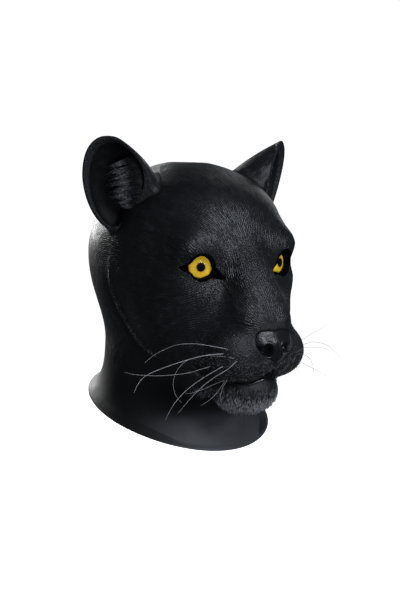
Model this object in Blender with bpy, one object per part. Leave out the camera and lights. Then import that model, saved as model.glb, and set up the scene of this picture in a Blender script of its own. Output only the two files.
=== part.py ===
"""Latex panther mask: a hollow head pulled over the wearer's head, with two domed eyes.

Metres, +Z up. The muzzle points along -Y and the wearer's left side is +X.
The origin is the inside of the crown, where the top of the wearer's head rests.
"""

import math
from collections import namedtuple

import bmesh
import bpy
import numpy as np
from mathutils import Matrix, Vector

# Named sizes of the head. Places across are shares of EYE_SPACING, places forward of the
# middle of the head are shares of EYE_REACH, and heights above the eyes of CROWN_RISE.
EYE_SPACING = 0.100
EYE_REACH = 0.100
CROWN_RISE = 0.100
SKIN_WALL = 0.0028

# Named sizes of the neck.
NECK_HALF_WIDTH = 0.074
NECK_HALF_DEPTH = 0.079
HEM_FLARE = 0.017
HEM_FLARE_FADE = 0.015
HOLLOW_OVERRUN = 0.012

# Named sizes of the eyes.
EYE_DIAMETER = 0.035
LENS_DEPTH = 0.00875
LENS_GAP = 0.0003
LID_COVER = 0.0022
SEAT_RIM = 0.004
SEAT_BORE = 0.022
SEAT_BORE_LENGTH = 0.034
BORE_OVERRUN = 0.001
EYE_YAW = 20.0
EYE_OPENING_LENGTH = 0.0415
EYE_OPENING_HEIGHT = 0.0244
EYE_OPENING_TILT = 14.0
EYE_OPENING_DEPTH = 0.006
EYE_OPENING_REACH = 0.030

# Named sizes of the ears.
EAR_WIDTH = 0.066
EAR_HEIGHT = 0.096
EAR_ROOT_WIDTH = 0.050
EAR_ROOT_LENGTH = 0.064
EAR_WALL = 0.003
EAR_YAW = 42.0
EAR_BULGE = 0.04
EAR_LEFT_DROP = 0.0035

# Named sizes of the face details. A nostril's mouth and its inner end are places on the
# head, in shares like the masses.
NOSTRIL_WIDTH = 0.0075
NOSTRIL_LENGTH = 0.036
NOSTRIL_MOUTH = (0.105, 1.56, -0.79)
NOSTRIL_END = (0.050, 1.26, -0.72)
LIP_GROOVE = 0.003
CHEEK_RIDGE = 0.0015
CHEEK_RIDGE_WIDTH = 0.0055

# How finely the forms are laid out.
SKIN_COLUMNS = 58
SKIN_STEPS = 2
HOLLOW_COLUMNS = 36
HOLLOW_STEPS = 1
EAR_COLUMNS = 28

# Height of the origin above the eyes.
CROWN_INSIDE = 1.01 * CROWN_RISE - SKIN_WALL

for thing in list(bpy.data.objects):
    bpy.data.objects.remove(thing, do_unlink=True)

scene = bpy.context.scene
mask = bpy.data.collections.new("panther_mask")
cutters = bpy.data.collections.new("cutters")
scene.collection.children.link(mask)
scene.collection.children.link(cutters)
cutters.hide_render = True


def material(name, colour, roughness):
    """A plain material for one piece."""
    made = bpy.data.materials.new(name)
    made.use_nodes = True
    shader = made.node_tree.nodes["Principled BSDF"]
    shader.inputs["Base Color"].default_value = (*colour, 1.0)
    shader.inputs["Roughness"].default_value = roughness
    return made


latex = material("black_latex", (0.012, 0.012, 0.014), 0.45)
acrylic = material("amber_acrylic", (0.70, 0.38, 0.03), 0.06)


def spot(across, forward, up):
    """A place on the head, from its shares of the named sizes."""
    return np.array([across * EYE_SPACING, forward * EYE_REACH, up * CROWN_RISE])


def to_world(points):
    """Across, forward and up from between the eyes, as X, Y and Z of the part."""
    points = np.asarray(points, float)
    return np.stack(
        [points[..., 0], -points[..., 1], points[..., 2] - CROWN_INSIDE], axis=-1
    )


def tipped(pitch, yaw):
    """The axes of a mass: pitch tips its front down, yaw turns its front outwards."""
    p = math.radians(pitch)
    y = math.radians(yaw)
    tip = np.array(
        [[1, 0, 0], [0, math.cos(p), math.sin(p)], [0, -math.sin(p), math.cos(p)]]
    )
    turn = np.array(
        [[math.cos(y), math.sin(y), 0], [-math.sin(y), math.cos(y), 0], [0, 0, 1]]
    )
    return turn @ tip


def blend(a, b, reach):
    """The union of two forms with a fillet of this reach."""
    near = np.maximum(reach - np.abs(a - b), 0.0) / reach
    return np.minimum(a, b) - near * near * reach / 4


def ellipsoid(points, middle, radii, axes):
    """Signed distance from an ellipsoid, near enough for blending."""
    local = (points - middle) @ axes
    outer = np.sqrt(((local / radii) ** 2).sum(-1))
    slope = np.sqrt(((local / radii**2) ** 2).sum(-1))
    return outer * (outer - 1.0) / np.maximum(slope, 1e-9)


# The masses of the head, in the order they are blended on. The columns are the middle
# (across, forward, up), the half sizes along the same ways, how far it is tipped and
# turned in degrees, the reach of its fillet as a share of CROWN_RISE, and whether the
# hollow follows it too. A mass off the middle has a twin on the other side.
Mass = namedtuple("Mass", "name x f z half_x half_f half_z pitch yaw fillet hollow")
MASSES = [
    Mass("cranium", 0.00, -0.06, 0.06, 0.92, 1.02, 0.95, 0, 0, 0.01, True),
    Mass("forehead", 0.00, 0.36, 0.33, 0.84, 0.70, 0.57, 0, 0, 0.30, True),
    Mass("face", 0.00, 0.36, -0.12, 0.86, 0.74, 0.60, 0, 0, 0.26, True),
    Mass("cheek", 0.47, 0.54, -0.50, 0.38, 0.46, 0.46, 0, 0, 0.24, True),
    Mass("jaw", 0.32, 0.56, -0.98, 0.37, 0.58, 0.38, 0, 0, 0.24, True),
    Mass("snout", 0.00, 0.86, -0.54, 0.56, 0.50, 0.46, 0, 0, 0.24, True),
    Mass("muzzle", 0.00, 1.08, -0.78, 0.48, 0.40, 0.37, 0, 0, 0.16, True),
    Mass("bridge", 0.00, 1.15, -0.24, 0.22, 0.25, 0.62, -28, 0, 0.14, True),
    Mass("bridge_side", 0.11, 1.15, -0.28, 0.14, 0.235, 0.56, -28, 0, 0.10, True),
    Mass("muzzle_top", 0.16, 1.26, -0.52, 0.18, 0.21, 0.27, -18, 0, 0.12, True),
    Mass("whisker_pad", 0.23, 1.24, -0.84, 0.31, 0.275, 0.27, 0, 0, 0.08, True),
    Mass("upper_lip", 0.09, 1.30, -0.93, 0.18, 0.240, 0.15, 0, 0, 0.07, False),
    Mass("nose_pad", 0.00, 1.40, -0.74, 0.22, 0.185, 0.15, 0, 0, 0.05, False),
    Mass("nose_wing", 0.14, 1.40, -0.765, 0.125, 0.150, 0.13, 0, 0, 0.07, False),
    Mass("septum", 0.00, 1.43, -0.85, 0.11, 0.135, 0.14, 0, 0, 0.06, False),
    Mass("chin", 0.00, 1.06, -1.22, 0.32, 0.34, 0.25, 0, 0, 0.08, True),
    Mass("brow", 0.44, 0.88, 0.19, 0.25, 0.13, 0.13, 0, -20, 0.28, False),
    Mass("cheekbone", 0.56, 0.74, -0.17, 0.20, 0.20, 0.12, 0, -20, 0.20, False),
]
SIZES = spot(1, 1, 1)
EYE_AXES = tipped(0, EYE_YAW)
PUPIL = spot(0.50, 1.02, 0.00)
EYE_MIDDLE = PUPIL - EYE_AXES[:, 1] * EYE_DIAMETER / 2


def of_mass(points, mass):
    """Signed distance from a mass and from its twin on the other side."""
    radii = SIZES * (mass.half_x, mass.half_f, mass.half_z)
    middle = spot(mass.x, mass.f, mass.z)
    axes = tipped(mass.pitch, mass.yaw)
    near = ellipsoid(points, middle, radii, axes)
    if mass.x == 0:
        return near
    twin = ellipsoid(points * (-1, 1, 1), middle, radii, axes)
    return blend(near, twin, mass.fillet * CROWN_RISE)


def hem_height(forward):
    """The hem drops towards the front, where the bib lies over the chest."""
    share = forward / EYE_REACH
    return CROWN_RISE * (-1.57 - 0.30 * share - 0.08 * np.maximum(share, 0) ** 2)


def of_neck(points):
    """Signed distance from the neck, which flares out just above the hem."""
    above = points[..., 2] - hem_height(points[..., 1])
    flare = HEM_FLARE * np.exp(-np.maximum(above, -HEM_FLARE) / HEM_FLARE_FADE)
    across = NECK_HALF_WIDTH + flare
    along = NECK_HALF_DEPTH + flare
    back = points[..., 1] + 0.11 * EYE_REACH
    round_it = np.hypot(points[..., 0] / across, back / along) - 1.0
    wall = round_it * np.minimum(across, along)
    return -blend(-wall, 0.2 * CROWN_RISE - points[..., 2], 0.3 * CROWN_RISE)


def head_form(points, hollow):
    """Signed distance from the outside of the head, or from the form of its hollow."""
    gap = None
    for mass in MASSES:
        if hollow and not mass.hollow:
            continue
        here = of_mass(points, mass)
        reach = mass.fillet * CROWN_RISE
        gap = here if gap is None else blend(gap, here, reach)
    gap = blend(gap, of_neck(points), 0.26 * CROWN_RISE)
    if hollow:
        return gap + SKIN_WALL
    for side in (1, -1):
        from_eye = np.linalg.norm(points * (side, 1, 1) - EYE_MIDDLE, axis=-1)
        gap = blend(gap, from_eye - EYE_DIAMETER / 2 - LID_COVER, 0.07 * CROWN_RISE)
    # The face ends at the cheek in a low ridge, an arc seen from the side.
    beyond = np.hypot(
        points[..., 1] - 0.80 * EYE_REACH, points[..., 2] + 0.15 * CROWN_RISE
    )
    beyond = (beyond - 0.78 * EYE_REACH) / CHEEK_RIDGE_WIDTH
    behind = points[..., 1] < 0.60 * EYE_REACH
    below = points[..., 2] < 0.30 * CROWN_RISE
    ridge = np.exp(-(beyond**2)) - 0.5 * np.exp(-((beyond - 1.8) ** 2))
    return gap - CHEEK_RIDGE * ridge * behind * below


def surface_point(origins, ways, hollow):
    """Where each line from inside the head last leaves the form."""
    far = 0.20
    steps = np.linspace(0.0, far, 41)
    inside = np.full(len(origins), 0.0)
    for step in steps:
        within = head_form(origins + ways * step, hollow) < 0
        inside = np.where(within, step, inside)
    low = inside
    high = inside + steps[1]
    for _ in range(16):
        middle = (low + high) / 2
        within = head_form(origins + ways * middle[:, None], hollow) < 0
        low = np.where(within, middle, low)
        high = np.where(within, high, middle)
    return origins + ways * low[:, None]


# The sections the head is lofted through, from the hem to the crown. Each is a plane
# through a point on the throat, face or forehead and one on the back of the head. The
# last column is where its middle lies, as a share of the way from front to back.
Section = namedtuple("Section", "front_f front_z back_f back_z middle")
SECTIONS = [
    Section(0.87, -1.90, -1.04, -1.26, 0.50),
    Section(0.77, -1.74, -0.94, -1.11, 0.50),
    Section(0.72, -1.60, -0.90, -0.95, 0.50),
    Section(0.74, -1.52, -0.91, -0.76, 0.50),
    Section(0.88, -1.48, -0.95, -0.58, 0.48),
    Section(1.02, -1.47, -0.99, -0.43, 0.46),
    Section(1.18, -1.46, -1.02, -0.30, 0.43),
    Section(1.30, -1.42, -1.04, -0.20, 0.40),
    Section(1.38, -1.34, -1.06, -0.10, 0.38),
    Section(1.41, -1.24, -1.07, -0.02, 0.36),
    Section(1.44, -1.15, -1.08, 0.06, 0.36),
    Section(1.51, -1.06, -1.07, 0.14, 0.36),
    Section(1.56, -0.96, -1.06, 0.22, 0.36),
    Section(1.59, -0.84, -1.04, 0.30, 0.36),
    Section(1.60, -0.72, -1.01, 0.38, 0.36),
    Section(1.52, -0.58, -0.98, 0.45, 0.36),
    Section(1.45, -0.40, -0.94, 0.52, 0.37),
    Section(1.34, -0.22, -0.90, 0.58, 0.38),
    Section(1.19, -0.02, -0.84, 0.65, 0.40),
    Section(1.11, 0.18, -0.77, 0.72, 0.42),
    Section(1.02, 0.38, -0.68, 0.80, 0.45),
    Section(0.88, 0.60, -0.57, 0.88, 0.48),
    Section(0.66, 0.80, -0.44, 0.94, 0.50),
    Section(0.40, 0.93, -0.28, 0.98, 0.50),
    Section(0.27, 0.965, -0.20, 0.995, 0.50),
    Section(0.13, 0.995, -0.11, 1.005, 0.50),
]
# How much closer together the columns are at the face than all round.
FACE_CROWDING = 0.52


def smooth_rows(table, steps):
    """More rows through the rows of a table, on a Catmull-Rom curve."""
    rows = np.array(table, float)
    ends = np.vstack([2 * rows[0] - rows[1], rows, 2 * rows[-1] - rows[-2]])
    out = []
    for i in range(1, len(ends) - 2):
        a, b, c, d = ends[i - 1 : i + 3]
        for t in np.arange(steps) / steps:
            out.append(
                0.5
                * (
                    2 * b
                    + (c - a) * t
                    + (2 * a - 5 * b + 4 * c - d) * t**2
                    + (3 * b - a - 3 * c + d) * t**3
                )
            )
    return np.array(out + [rows[-1]])


def head_rows(columns, steps, hollow, below_hem):
    """Rings of points round the head from the hem to the crown."""
    even = np.arange(-(columns // 2), columns // 2) / (columns / 2)
    turns = np.pi * (FACE_CROWDING * even + (1 - FACE_CROWDING) * even**3)
    rings = []
    for front_f, front_z, back_f, back_z, share in smooth_rows(SECTIONS, steps):
        front = spot(0, front_f, front_z)
        back = spot(0, back_f, back_z)
        origin = front + (back - front) * share
        forward = (front - back) / np.linalg.norm(front - back)
        ways = np.outer(np.sin(turns), (1, 0, 0)) + np.outer(np.cos(turns), forward)
        ring = surface_point(np.tile(origin, (columns, 1)), ways, hollow)
        if not rings:
            ring[:, 2] = hem_height(ring[:, 1]) - below_hem
        rings.append(ring)
    return rings


def lofted(name, rings, collection, slot):
    """A closed solid through rings of the same number of points."""
    mesh = bpy.data.meshes.new(name)
    form = bmesh.new()
    rows = [[form.verts.new(point) for point in to_world(ring)] for ring in rings]
    count = len(rows[0])
    for lower, upper in zip(rows, rows[1:]):
        for i in range(count):
            j = (i + 1) % count
            form.faces.new((lower[i], lower[j], upper[j], upper[i]))
    for row in (rows[0], rows[-1]):
        middle = sum((vert.co for vert in row), Vector()) / count
        hub = form.verts.new(middle)
        for i in range(count):
            form.faces.new((row[i], row[(i + 1) % count], hub))
    bmesh.ops.recalc_face_normals(form, faces=form.faces)
    for face in form.faces:
        face.smooth = True
    form.to_mesh(mesh)
    form.free()
    mesh.materials.append(slot)
    made = bpy.data.objects.new(name, mesh)
    collection.objects.link(made)
    return made


def as_cutter(made):
    """Moves an object among the cutters."""
    for holder in list(made.users_collection):
        holder.objects.unlink(made)
    cutters.objects.link(made)
    made.hide_render = True
    made.display_type = "WIRE"
    return made


def boolean(target, other, operation):
    """One exact Boolean with another object."""
    step = target.modifiers.new(operation.lower(), "BOOLEAN")
    step.operation = operation
    step.solver = "EXACT"
    step.object = other


# The head, from the hem to the nose.
skin = lofted(
    "mask_skin",
    head_rows(SKIN_COLUMNS, SKIN_STEPS, False, 0.0),
    mask,
    latex,
)


# The middles of an ear's rim and of its root as places on the head, and the ways their
# long axes point: across, forward and up.
EAR_RIM_MIDDLE = (0.98, 0.25, 0.80)
EAR_ROOT_MIDDLE = (0.62, 0.13, 0.56)
EAR_UPRIGHT = (0.229, 0.070, 0.971)
EAR_ROOT_UPRIGHT = (-0.62, 0.0, 0.78)
# The rim's outline against a plain oval, and how far it bends forwards as a share of
# EAR_HEIGHT, by the angle from its outer side over the top.
Rim = namedtuple("Rim", "angle reach forward")
RIM = [
    Rim(0, 0.98, 0.030),
    Rim(30, 1.01, 0.034),
    Rim(45, 1.04, 0.030),
    Rim(60, 1.05, 0.020),
    Rim(75, 1.04, 0.004),
    Rim(90, 1.00, -0.010),
    Rim(105, 0.985, -0.006),
    Rim(120, 0.955, 0.006),
    Rim(140, 0.965, 0.012),
    Rim(155, 1.01, 0.014),
    Rim(172, 1.02, 0.014),
    Rim(190, 0.94, 0.010),
    Rim(212, 0.83, 0.004),
    Rim(235, 0.79, 0.000),
    Rim(255, 0.81, 0.000),
    Rim(270, 0.90, 0.000),
    Rim(282, 1.01, 0.000),
    Rim(294, 1.05, 0.002),
    Rim(316, 1.03, 0.010),
    Rim(340, 0.99, 0.022),
]
# The rings of an ear from its root up the outside, over the rim and down into the bowl:
# how far out to the rim each lies, and how far in from the outside, in walls.
EarRing = namedtuple("EarRing", "share walls")
EAR_RINGS = [
    EarRing(0.00, 0.0),
    EarRing(0.25, 0.0),
    EarRing(0.50, 0.0),
    EarRing(0.75, 0.0),
    EarRing(1.00, 0.0),
    EarRing(1.02, 0.5),
    EarRing(1.00, 1.0),
    EarRing(0.82, 1.1),
    EarRing(0.64, 1.4),
    EarRing(0.50, 3.0),
]


def ear_ring(side, share, inset):
    """A ring round the ear, from its root in the head at 0 to its rim at 1."""
    turns = 2 * np.pi * np.arange(EAR_COLUMNS) / EAR_COLUMNS
    yaw = math.radians(EAR_YAW)
    up = np.array(EAR_UPRIGHT)
    outward = np.array([math.cos(yaw), -math.sin(yaw), 0.0])
    outward -= up * outward.dot(up)
    outward /= np.linalg.norm(outward)
    table = np.array(RIM)
    reach = np.interp(np.degrees(turns), table[:, 0], table[:, 1], period=360)
    forward = np.interp(np.degrees(turns), table[:, 0], table[:, 2], period=360)
    rim = (
        spot(*EAR_RIM_MIDDLE)
        - (0, 0, EAR_LEFT_DROP * (side > 0))
        + np.outer(np.cos(turns) * reach * EAR_WIDTH / 2, outward)
        + np.outer(np.sin(turns) * reach * EAR_HEIGHT / 2, up)
        + np.outer(forward * EAR_HEIGHT, np.cross(up, outward))
    )
    root = (
        spot(*EAR_ROOT_MIDDLE)
        + np.outer(np.cos(turns) * EAR_ROOT_WIDTH / 2, (0, -1, 0))
        + np.outer(np.sin(turns) * EAR_ROOT_LENGTH / 2, EAR_ROOT_UPRIGHT)
    )
    ring = root * (1 - share) + rim * share
    middle = ring.mean(axis=0)
    spokes = ring - middle
    length = np.linalg.norm(spokes, axis=1)[:, None]
    bulge = EAR_BULGE * EAR_HEIGHT * math.sin(math.pi * share)
    ring = middle + spokes * (1 + (bulge - inset) / length)
    return ring * (side, 1, 1)


def ear(name, side):
    """One ear: a cup with a thin wall, filled at the root."""
    rings = [ear_ring(side, row.share, EAR_WALL * row.walls) for row in EAR_RINGS]
    return as_cutter(lofted(name, rings, cutters, latex))


boolean(skin, ear("ear_left_form", 1), "UNION")
boolean(skin, ear("ear_right_form", -1), "UNION")

# The hollow that the head goes into, open at the hem.
hollow_rows = head_rows(HOLLOW_COLUMNS, HOLLOW_STEPS, True, HOLLOW_OVERRUN)
hollow_form = as_cutter(lofted("hollow_form", hollow_rows, cutters, latex))
boolean(skin, hollow_form, "DIFFERENCE")


def eye_matrix(side):
    """Turns local +Z to the way the eye looks, from the middle of the eyeball."""
    x, y, z = to_world(EYE_MIDDLE * (side, 1, 1))
    turn = Matrix.Rotation(math.radians(EYE_YAW * side), 4, "Z")
    return Matrix.Translation((x, y, z)) @ turn @ Matrix.Rotation(math.pi / 2, 4, "X")


def ball_cap(name, side, radius, floor):
    """The front of a ball, cut off flat at this distance from its middle."""
    bpy.ops.mesh.primitive_uv_sphere_add(segments=24, ring_count=18, radius=radius)
    made = bpy.context.object
    made.name = name
    made.data.name = name
    form = bmesh.new()
    form.from_mesh(made.data)
    everything = form.verts[:] + form.edges[:] + form.faces[:]
    cut = bmesh.ops.bisect_plane(
        form,
        geom=everything,
        plane_co=(0, 0, floor),
        plane_no=(0, 0, -1),
        clear_outer=True,
    )
    edges = [item for item in cut["geom_cut"] if isinstance(item, bmesh.types.BMEdge)]
    bmesh.ops.contextual_create(form, geom=edges)
    bmesh.ops.recalc_face_normals(form, faces=form.faces)
    form.to_mesh(made.data)
    form.free()
    made.data.transform(eye_matrix(side))
    return made


def bore(name, side):
    """The round hole behind an eye."""
    bpy.ops.mesh.primitive_cylinder_add(
        vertices=24, radius=SEAT_BORE / 2, depth=SEAT_BORE_LENGTH
    )
    made = bpy.context.object
    made.name = name
    front = EYE_DIAMETER / 2 - LENS_DEPTH + BORE_OVERRUN
    shift = Matrix.Translation((0, 0, front - SEAT_BORE_LENGTH / 2))
    made.data.transform(eye_matrix(side) @ shift)
    return as_cutter(made)


def eye_opening(name, side):
    """The gap between the lids: a round middle with a point at each corner."""
    half = EYE_OPENING_LENGTH / 2
    round_part = EYE_OPENING_HEIGHT / 2
    outline = []
    for turn in np.linspace(0, 2 * np.pi, 36, endpoint=False):
        # The leaf is where two wide circles cross, and its corners lie on the line.
        rise = 0.78 * round_part
        lift = (half**2 - rise**2) / (2 * rise)
        steep = lift * abs(math.sin(turn))
        leaf = math.sqrt(steep**2 + half**2) - steep
        tilt = turn + math.radians(EYE_OPENING_TILT)
        size = max(leaf, round_part)
        outline.append((size * math.cos(tilt) * side, size * math.sin(tilt)))
    mesh = bpy.data.meshes.new(name)
    form = bmesh.new()
    floor = EYE_DIAMETER / 2 - EYE_OPENING_DEPTH
    base = [form.verts.new((x, y, floor)) for x, y in outline]
    face = form.faces.new(base)
    drawn = bmesh.ops.extrude_face_region(form, geom=[face])
    moved = [item for item in drawn["geom"] if isinstance(item, bmesh.types.BMVert)]
    bmesh.ops.translate(form, verts=moved, vec=(0, 0, EYE_OPENING_REACH))
    bmesh.ops.recalc_face_normals(form, faces=form.faces)
    form.to_mesh(mesh)
    form.free()
    mesh.transform(eye_matrix(side))
    made = bpy.data.objects.new(name, mesh)
    cutters.objects.link(made)
    return as_cutter(made)


# Each eye is a domed lens held between the lids in front and a seat ring behind.
lens_floor = EYE_DIAMETER / 2 - LENS_DEPTH
for label, side in (("left", 1), ("right", -1)):
    seat = ball_cap(
        "eye_seat_" + label,
        side,
        EYE_DIAMETER / 2 + LID_COVER - LENS_GAP,
        lens_floor - SEAT_RIM,
    )
    boolean(skin, as_cutter(seat), "UNION")
    pocket = ball_cap(
        "eye_pocket_" + label,
        side,
        EYE_DIAMETER / 2 + LENS_GAP,
        lens_floor - LENS_GAP,
    )
    boolean(skin, as_cutter(pocket), "DIFFERENCE")
    boolean(skin, bore("eye_bore_" + label, side), "DIFFERENCE")
    boolean(skin, eye_opening("eye_opening_" + label, side), "DIFFERENCE")
    lens = ball_cap("eye_" + label, side, EYE_DIAMETER / 2, lens_floor)
    lens.data.materials.append(acrylic)
    for holder in list(lens.users_collection):
        holder.objects.unlink(lens)
    mask.objects.link(lens)
    for face in lens.data.polygons:
        face.use_smooth = len(face.vertices) < 5


def nostril(name, side):
    """A breathing hole through the nose."""
    bpy.ops.mesh.primitive_cone_add(
        vertices=14,
        radius1=0.7 * NOSTRIL_WIDTH / 2,
        radius2=1.3 * NOSTRIL_WIDTH / 2,
        depth=NOSTRIL_LENGTH,
    )
    made = bpy.context.object
    made.name = name
    mouth = Vector(to_world(spot(*NOSTRIL_MOUTH) * (side, 1, 1)))
    inner = Vector(to_world(spot(*NOSTRIL_END) * (side, 1, 1)))
    way = mouth - inner
    turn = way.to_track_quat("Z", "Y").to_matrix().to_4x4()
    made.data.transform(Matrix.Translation((mouth + inner) / 2) @ turn)
    return as_cutter(made)


boolean(skin, nostril("nostril_left_form", 1), "DIFFERENCE")
boolean(skin, nostril("nostril_right_form", -1), "DIFFERENCE")

# The line between the lips: the angle from straight ahead, and the height.
Lip = namedtuple("Lip", "angle height")
LIP_LINE = [
    Lip(0, -1.07),
    Lip(12, -1.10),
    Lip(24, -1.12),
    Lip(40, -1.13),
    Lip(58, -1.11),
    Lip(72, -1.05),
    Lip(84, -0.98),
]
lip_rows = smooth_rows(LIP_LINE, 2)
path = np.vstack([lip_rows[:0:-1] * (-1, 1), lip_rows])
angles = np.radians(path[:, 0])
starts = np.stack(
    [0 * angles, EYE_REACH + 0 * angles, path[:, 1] * CROWN_RISE], axis=-1
)
ways = np.stack([np.sin(angles), np.cos(angles), 0 * angles], axis=-1)
lips = to_world(surface_point(starts, ways, False))
curve = bpy.data.curves.new("lip_groove_form", "CURVE")
curve.dimensions = "3D"
curve.bevel_depth = LIP_GROOVE / 2
curve.bevel_resolution = 1
curve.use_fill_caps = True
spline = curve.splines.new("POLY")
spline.points.add(len(lips) - 1)
for i, place in enumerate(lips):
    spline.points[i].co = (*place, 1.0)
    ends = min(i, len(lips) - 1 - i)
    spline.points[i].radius = min(1.0, 0.4 + 0.3 * ends)
groove_curve = bpy.data.objects.new("lip_groove_form", curve)
cutters.objects.link(groove_curve)
bpy.context.view_layer.objects.active = groove_curve
bpy.ops.object.select_all(action="DESELECT")
groove_curve.select_set(True)
bpy.ops.object.convert(target="MESH")
groove = as_cutter(bpy.context.object)
boolean(skin, groove, "DIFFERENCE")
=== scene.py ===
import math
from collections import namedtuple

import bmesh
import bpy
import numpy as np
from mathutils import Matrix, Vector


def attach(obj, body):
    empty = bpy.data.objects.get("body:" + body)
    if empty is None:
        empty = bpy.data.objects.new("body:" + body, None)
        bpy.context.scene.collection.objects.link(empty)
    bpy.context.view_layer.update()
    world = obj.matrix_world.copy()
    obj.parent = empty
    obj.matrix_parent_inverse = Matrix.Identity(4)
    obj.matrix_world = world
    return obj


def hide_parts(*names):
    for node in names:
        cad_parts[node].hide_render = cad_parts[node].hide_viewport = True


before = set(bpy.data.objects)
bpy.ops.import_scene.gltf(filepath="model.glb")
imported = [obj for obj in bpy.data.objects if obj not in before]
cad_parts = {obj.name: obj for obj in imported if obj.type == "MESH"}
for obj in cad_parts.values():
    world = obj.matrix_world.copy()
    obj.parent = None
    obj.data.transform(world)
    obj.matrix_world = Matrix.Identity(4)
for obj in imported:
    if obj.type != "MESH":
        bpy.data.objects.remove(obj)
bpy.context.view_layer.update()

bpy.ops.object.select_all(action="DESELECT")

# Latex skin. The real mask is one hollow casting, about 3 mm thick, poured in a
# mould with the fur carved into it. It runs from the hem round the shoulders up
# over the face to the crown, with the hollow for the wearer's head inside.

# How far the eyes are apart, how far they stand before the middle of the head, and how far
# the crown rises above them. Shares are shares of these.
EYE_SPACING = 0.100
EYE_REACH = 0.100
CROWN_RISE = 0.100
SKIN_WALL = 0.0028
CROWN_INSIDE = 1.01 * CROWN_RISE - SKIN_WALL
NECK_HALF_WIDTH = 0.074
NECK_HALF_DEPTH = 0.079
HEM_FLARE = 0.017
HEM_FLARE_FADE = 0.015
LENS_RADIUS = 0.0175
LENS_DEPTH = 0.00875
LID_COVER = 0.0022
EYE_YAW = 20.0

# The rounded masses that the head is blended from: each one's middle and half sizes in
# shares, its tilts in degrees, the share of its fillet, and whether the hollow follows it.
Mass = namedtuple("Mass", "name x f z half_x half_f half_z pitch yaw fillet hollow")
MASSES = [
    Mass("cranium", 0.00, -0.06, 0.06, 0.92, 1.02, 0.95, 0, 0, 0.01, True),
    Mass("forehead", 0.00, 0.36, 0.33, 0.84, 0.70, 0.57, 0, 0, 0.30, True),
    Mass("face", 0.00, 0.36, -0.12, 0.86, 0.74, 0.60, 0, 0, 0.26, True),
    Mass("cheek", 0.47, 0.54, -0.50, 0.38, 0.46, 0.46, 0, 0, 0.24, True),
    Mass("jaw", 0.32, 0.56, -0.98, 0.37, 0.58, 0.38, 0, 0, 0.24, True),
    Mass("snout", 0.00, 0.86, -0.54, 0.56, 0.50, 0.46, 0, 0, 0.24, True),
    Mass("muzzle", 0.00, 1.08, -0.78, 0.48, 0.40, 0.37, 0, 0, 0.16, True),
    Mass("bridge", 0.00, 1.15, -0.24, 0.22, 0.25, 0.62, -28, 0, 0.14, True),
    Mass("bridge_side", 0.11, 1.15, -0.28, 0.14, 0.235, 0.56, -28, 0, 0.10, True),
    Mass("muzzle_top", 0.16, 1.26, -0.52, 0.18, 0.21, 0.27, -18, 0, 0.12, True),
    Mass("whisker_pad", 0.23, 1.24, -0.84, 0.31, 0.275, 0.27, 0, 0, 0.08, True),
    Mass("upper_lip", 0.09, 1.30, -0.93, 0.18, 0.240, 0.15, 0, 0, 0.07, False),
    Mass("nose_pad", 0.00, 1.40, -0.74, 0.22, 0.185, 0.15, 0, 0, 0.05, False),
    Mass("nose_wing", 0.14, 1.40, -0.765, 0.125, 0.150, 0.13, 0, 0, 0.07, False),
    Mass("septum", 0.00, 1.43, -0.85, 0.11, 0.135, 0.14, 0, 0, 0.06, False),
    Mass("chin", 0.00, 1.06, -1.22, 0.32, 0.34, 0.25, 0, 0, 0.08, True),
    Mass("brow", 0.44, 0.88, 0.19, 0.25, 0.13, 0.13, 0, -20, 0.28, False),
    Mass("cheekbone", 0.56, 0.74, -0.17, 0.20, 0.20, 0.12, 0, -20, 0.20, False),
]


def spot(across, forward, up):
    """A place on the head, from its shares of the named sizes."""
    return np.array([across * EYE_SPACING, forward * EYE_REACH, up * CROWN_RISE])


def to_world(points):
    """Across, forward and up from between the eyes, as X, Y and Z of the part."""
    points = np.asarray(points, float)
    return np.stack(
        [points[..., 0], -points[..., 1], points[..., 2] - CROWN_INSIDE], axis=-1
    )


def tipped(pitch, yaw):
    """The axes of a mass: pitch tips its front down, yaw turns its front outwards."""
    p = math.radians(pitch)
    y = math.radians(yaw)
    tip = np.array([[1, 0, 0], [0, math.cos(p), math.sin(p)], [0, -math.sin(p), math.cos(p)]])
    turn = np.array([[math.cos(y), math.sin(y), 0], [-math.sin(y), math.cos(y), 0], [0, 0, 1]])
    return turn @ tip


EYE_AXES = tipped(0, EYE_YAW)
PUPIL = spot(0.50, 1.02, 0.00)
EYE_MIDDLE = PUPIL - EYE_AXES[:, 1] * LENS_RADIUS


def blend(a, b, reach):
    """The union of two forms with a fillet of this reach."""
    near = np.maximum(reach - np.abs(a - b), 0.0) / reach
    return np.minimum(a, b) - near * near * reach / 4


def ease(value, low, high):
    """Smoothly from 0 at low to 1 at high."""
    t = np.clip((value - low) / (high - low), 0.0, 1.0)
    return t * t * (3 - 2 * t)


def ellipsoid(points, mass, side):
    """Distance from one mass of the head, less than nothing inside it."""
    radii = np.array([EYE_SPACING, EYE_REACH, CROWN_RISE]) * (mass.half_x, mass.half_f, mass.half_z)
    local = (points * (side, 1, 1) - spot(mass.x, mass.f, mass.z)) @ tipped(mass.pitch, mass.yaw)
    scaled = local / radii
    outer = np.sqrt((scaled * scaled).sum(-1))
    steep = scaled / radii
    slope = np.sqrt((steep * steep).sum(-1))
    return outer * (outer - 1.0) / np.maximum(slope, 1e-9)


def of_mass(points, mass):
    """Distance from a mass and from its twin on the other side."""
    near = ellipsoid(points, mass, 1)
    if mass.x == 0:
        return near
    return blend(near, ellipsoid(points, mass, -1), mass.fillet * CROWN_RISE)


def hem_height(forward):
    """The hem drops towards the front, where the bib lies over the chest."""
    share = forward / EYE_REACH
    return CROWN_RISE * (-1.57 - 0.30 * share - 0.08 * np.maximum(share, 0) ** 2)


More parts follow.
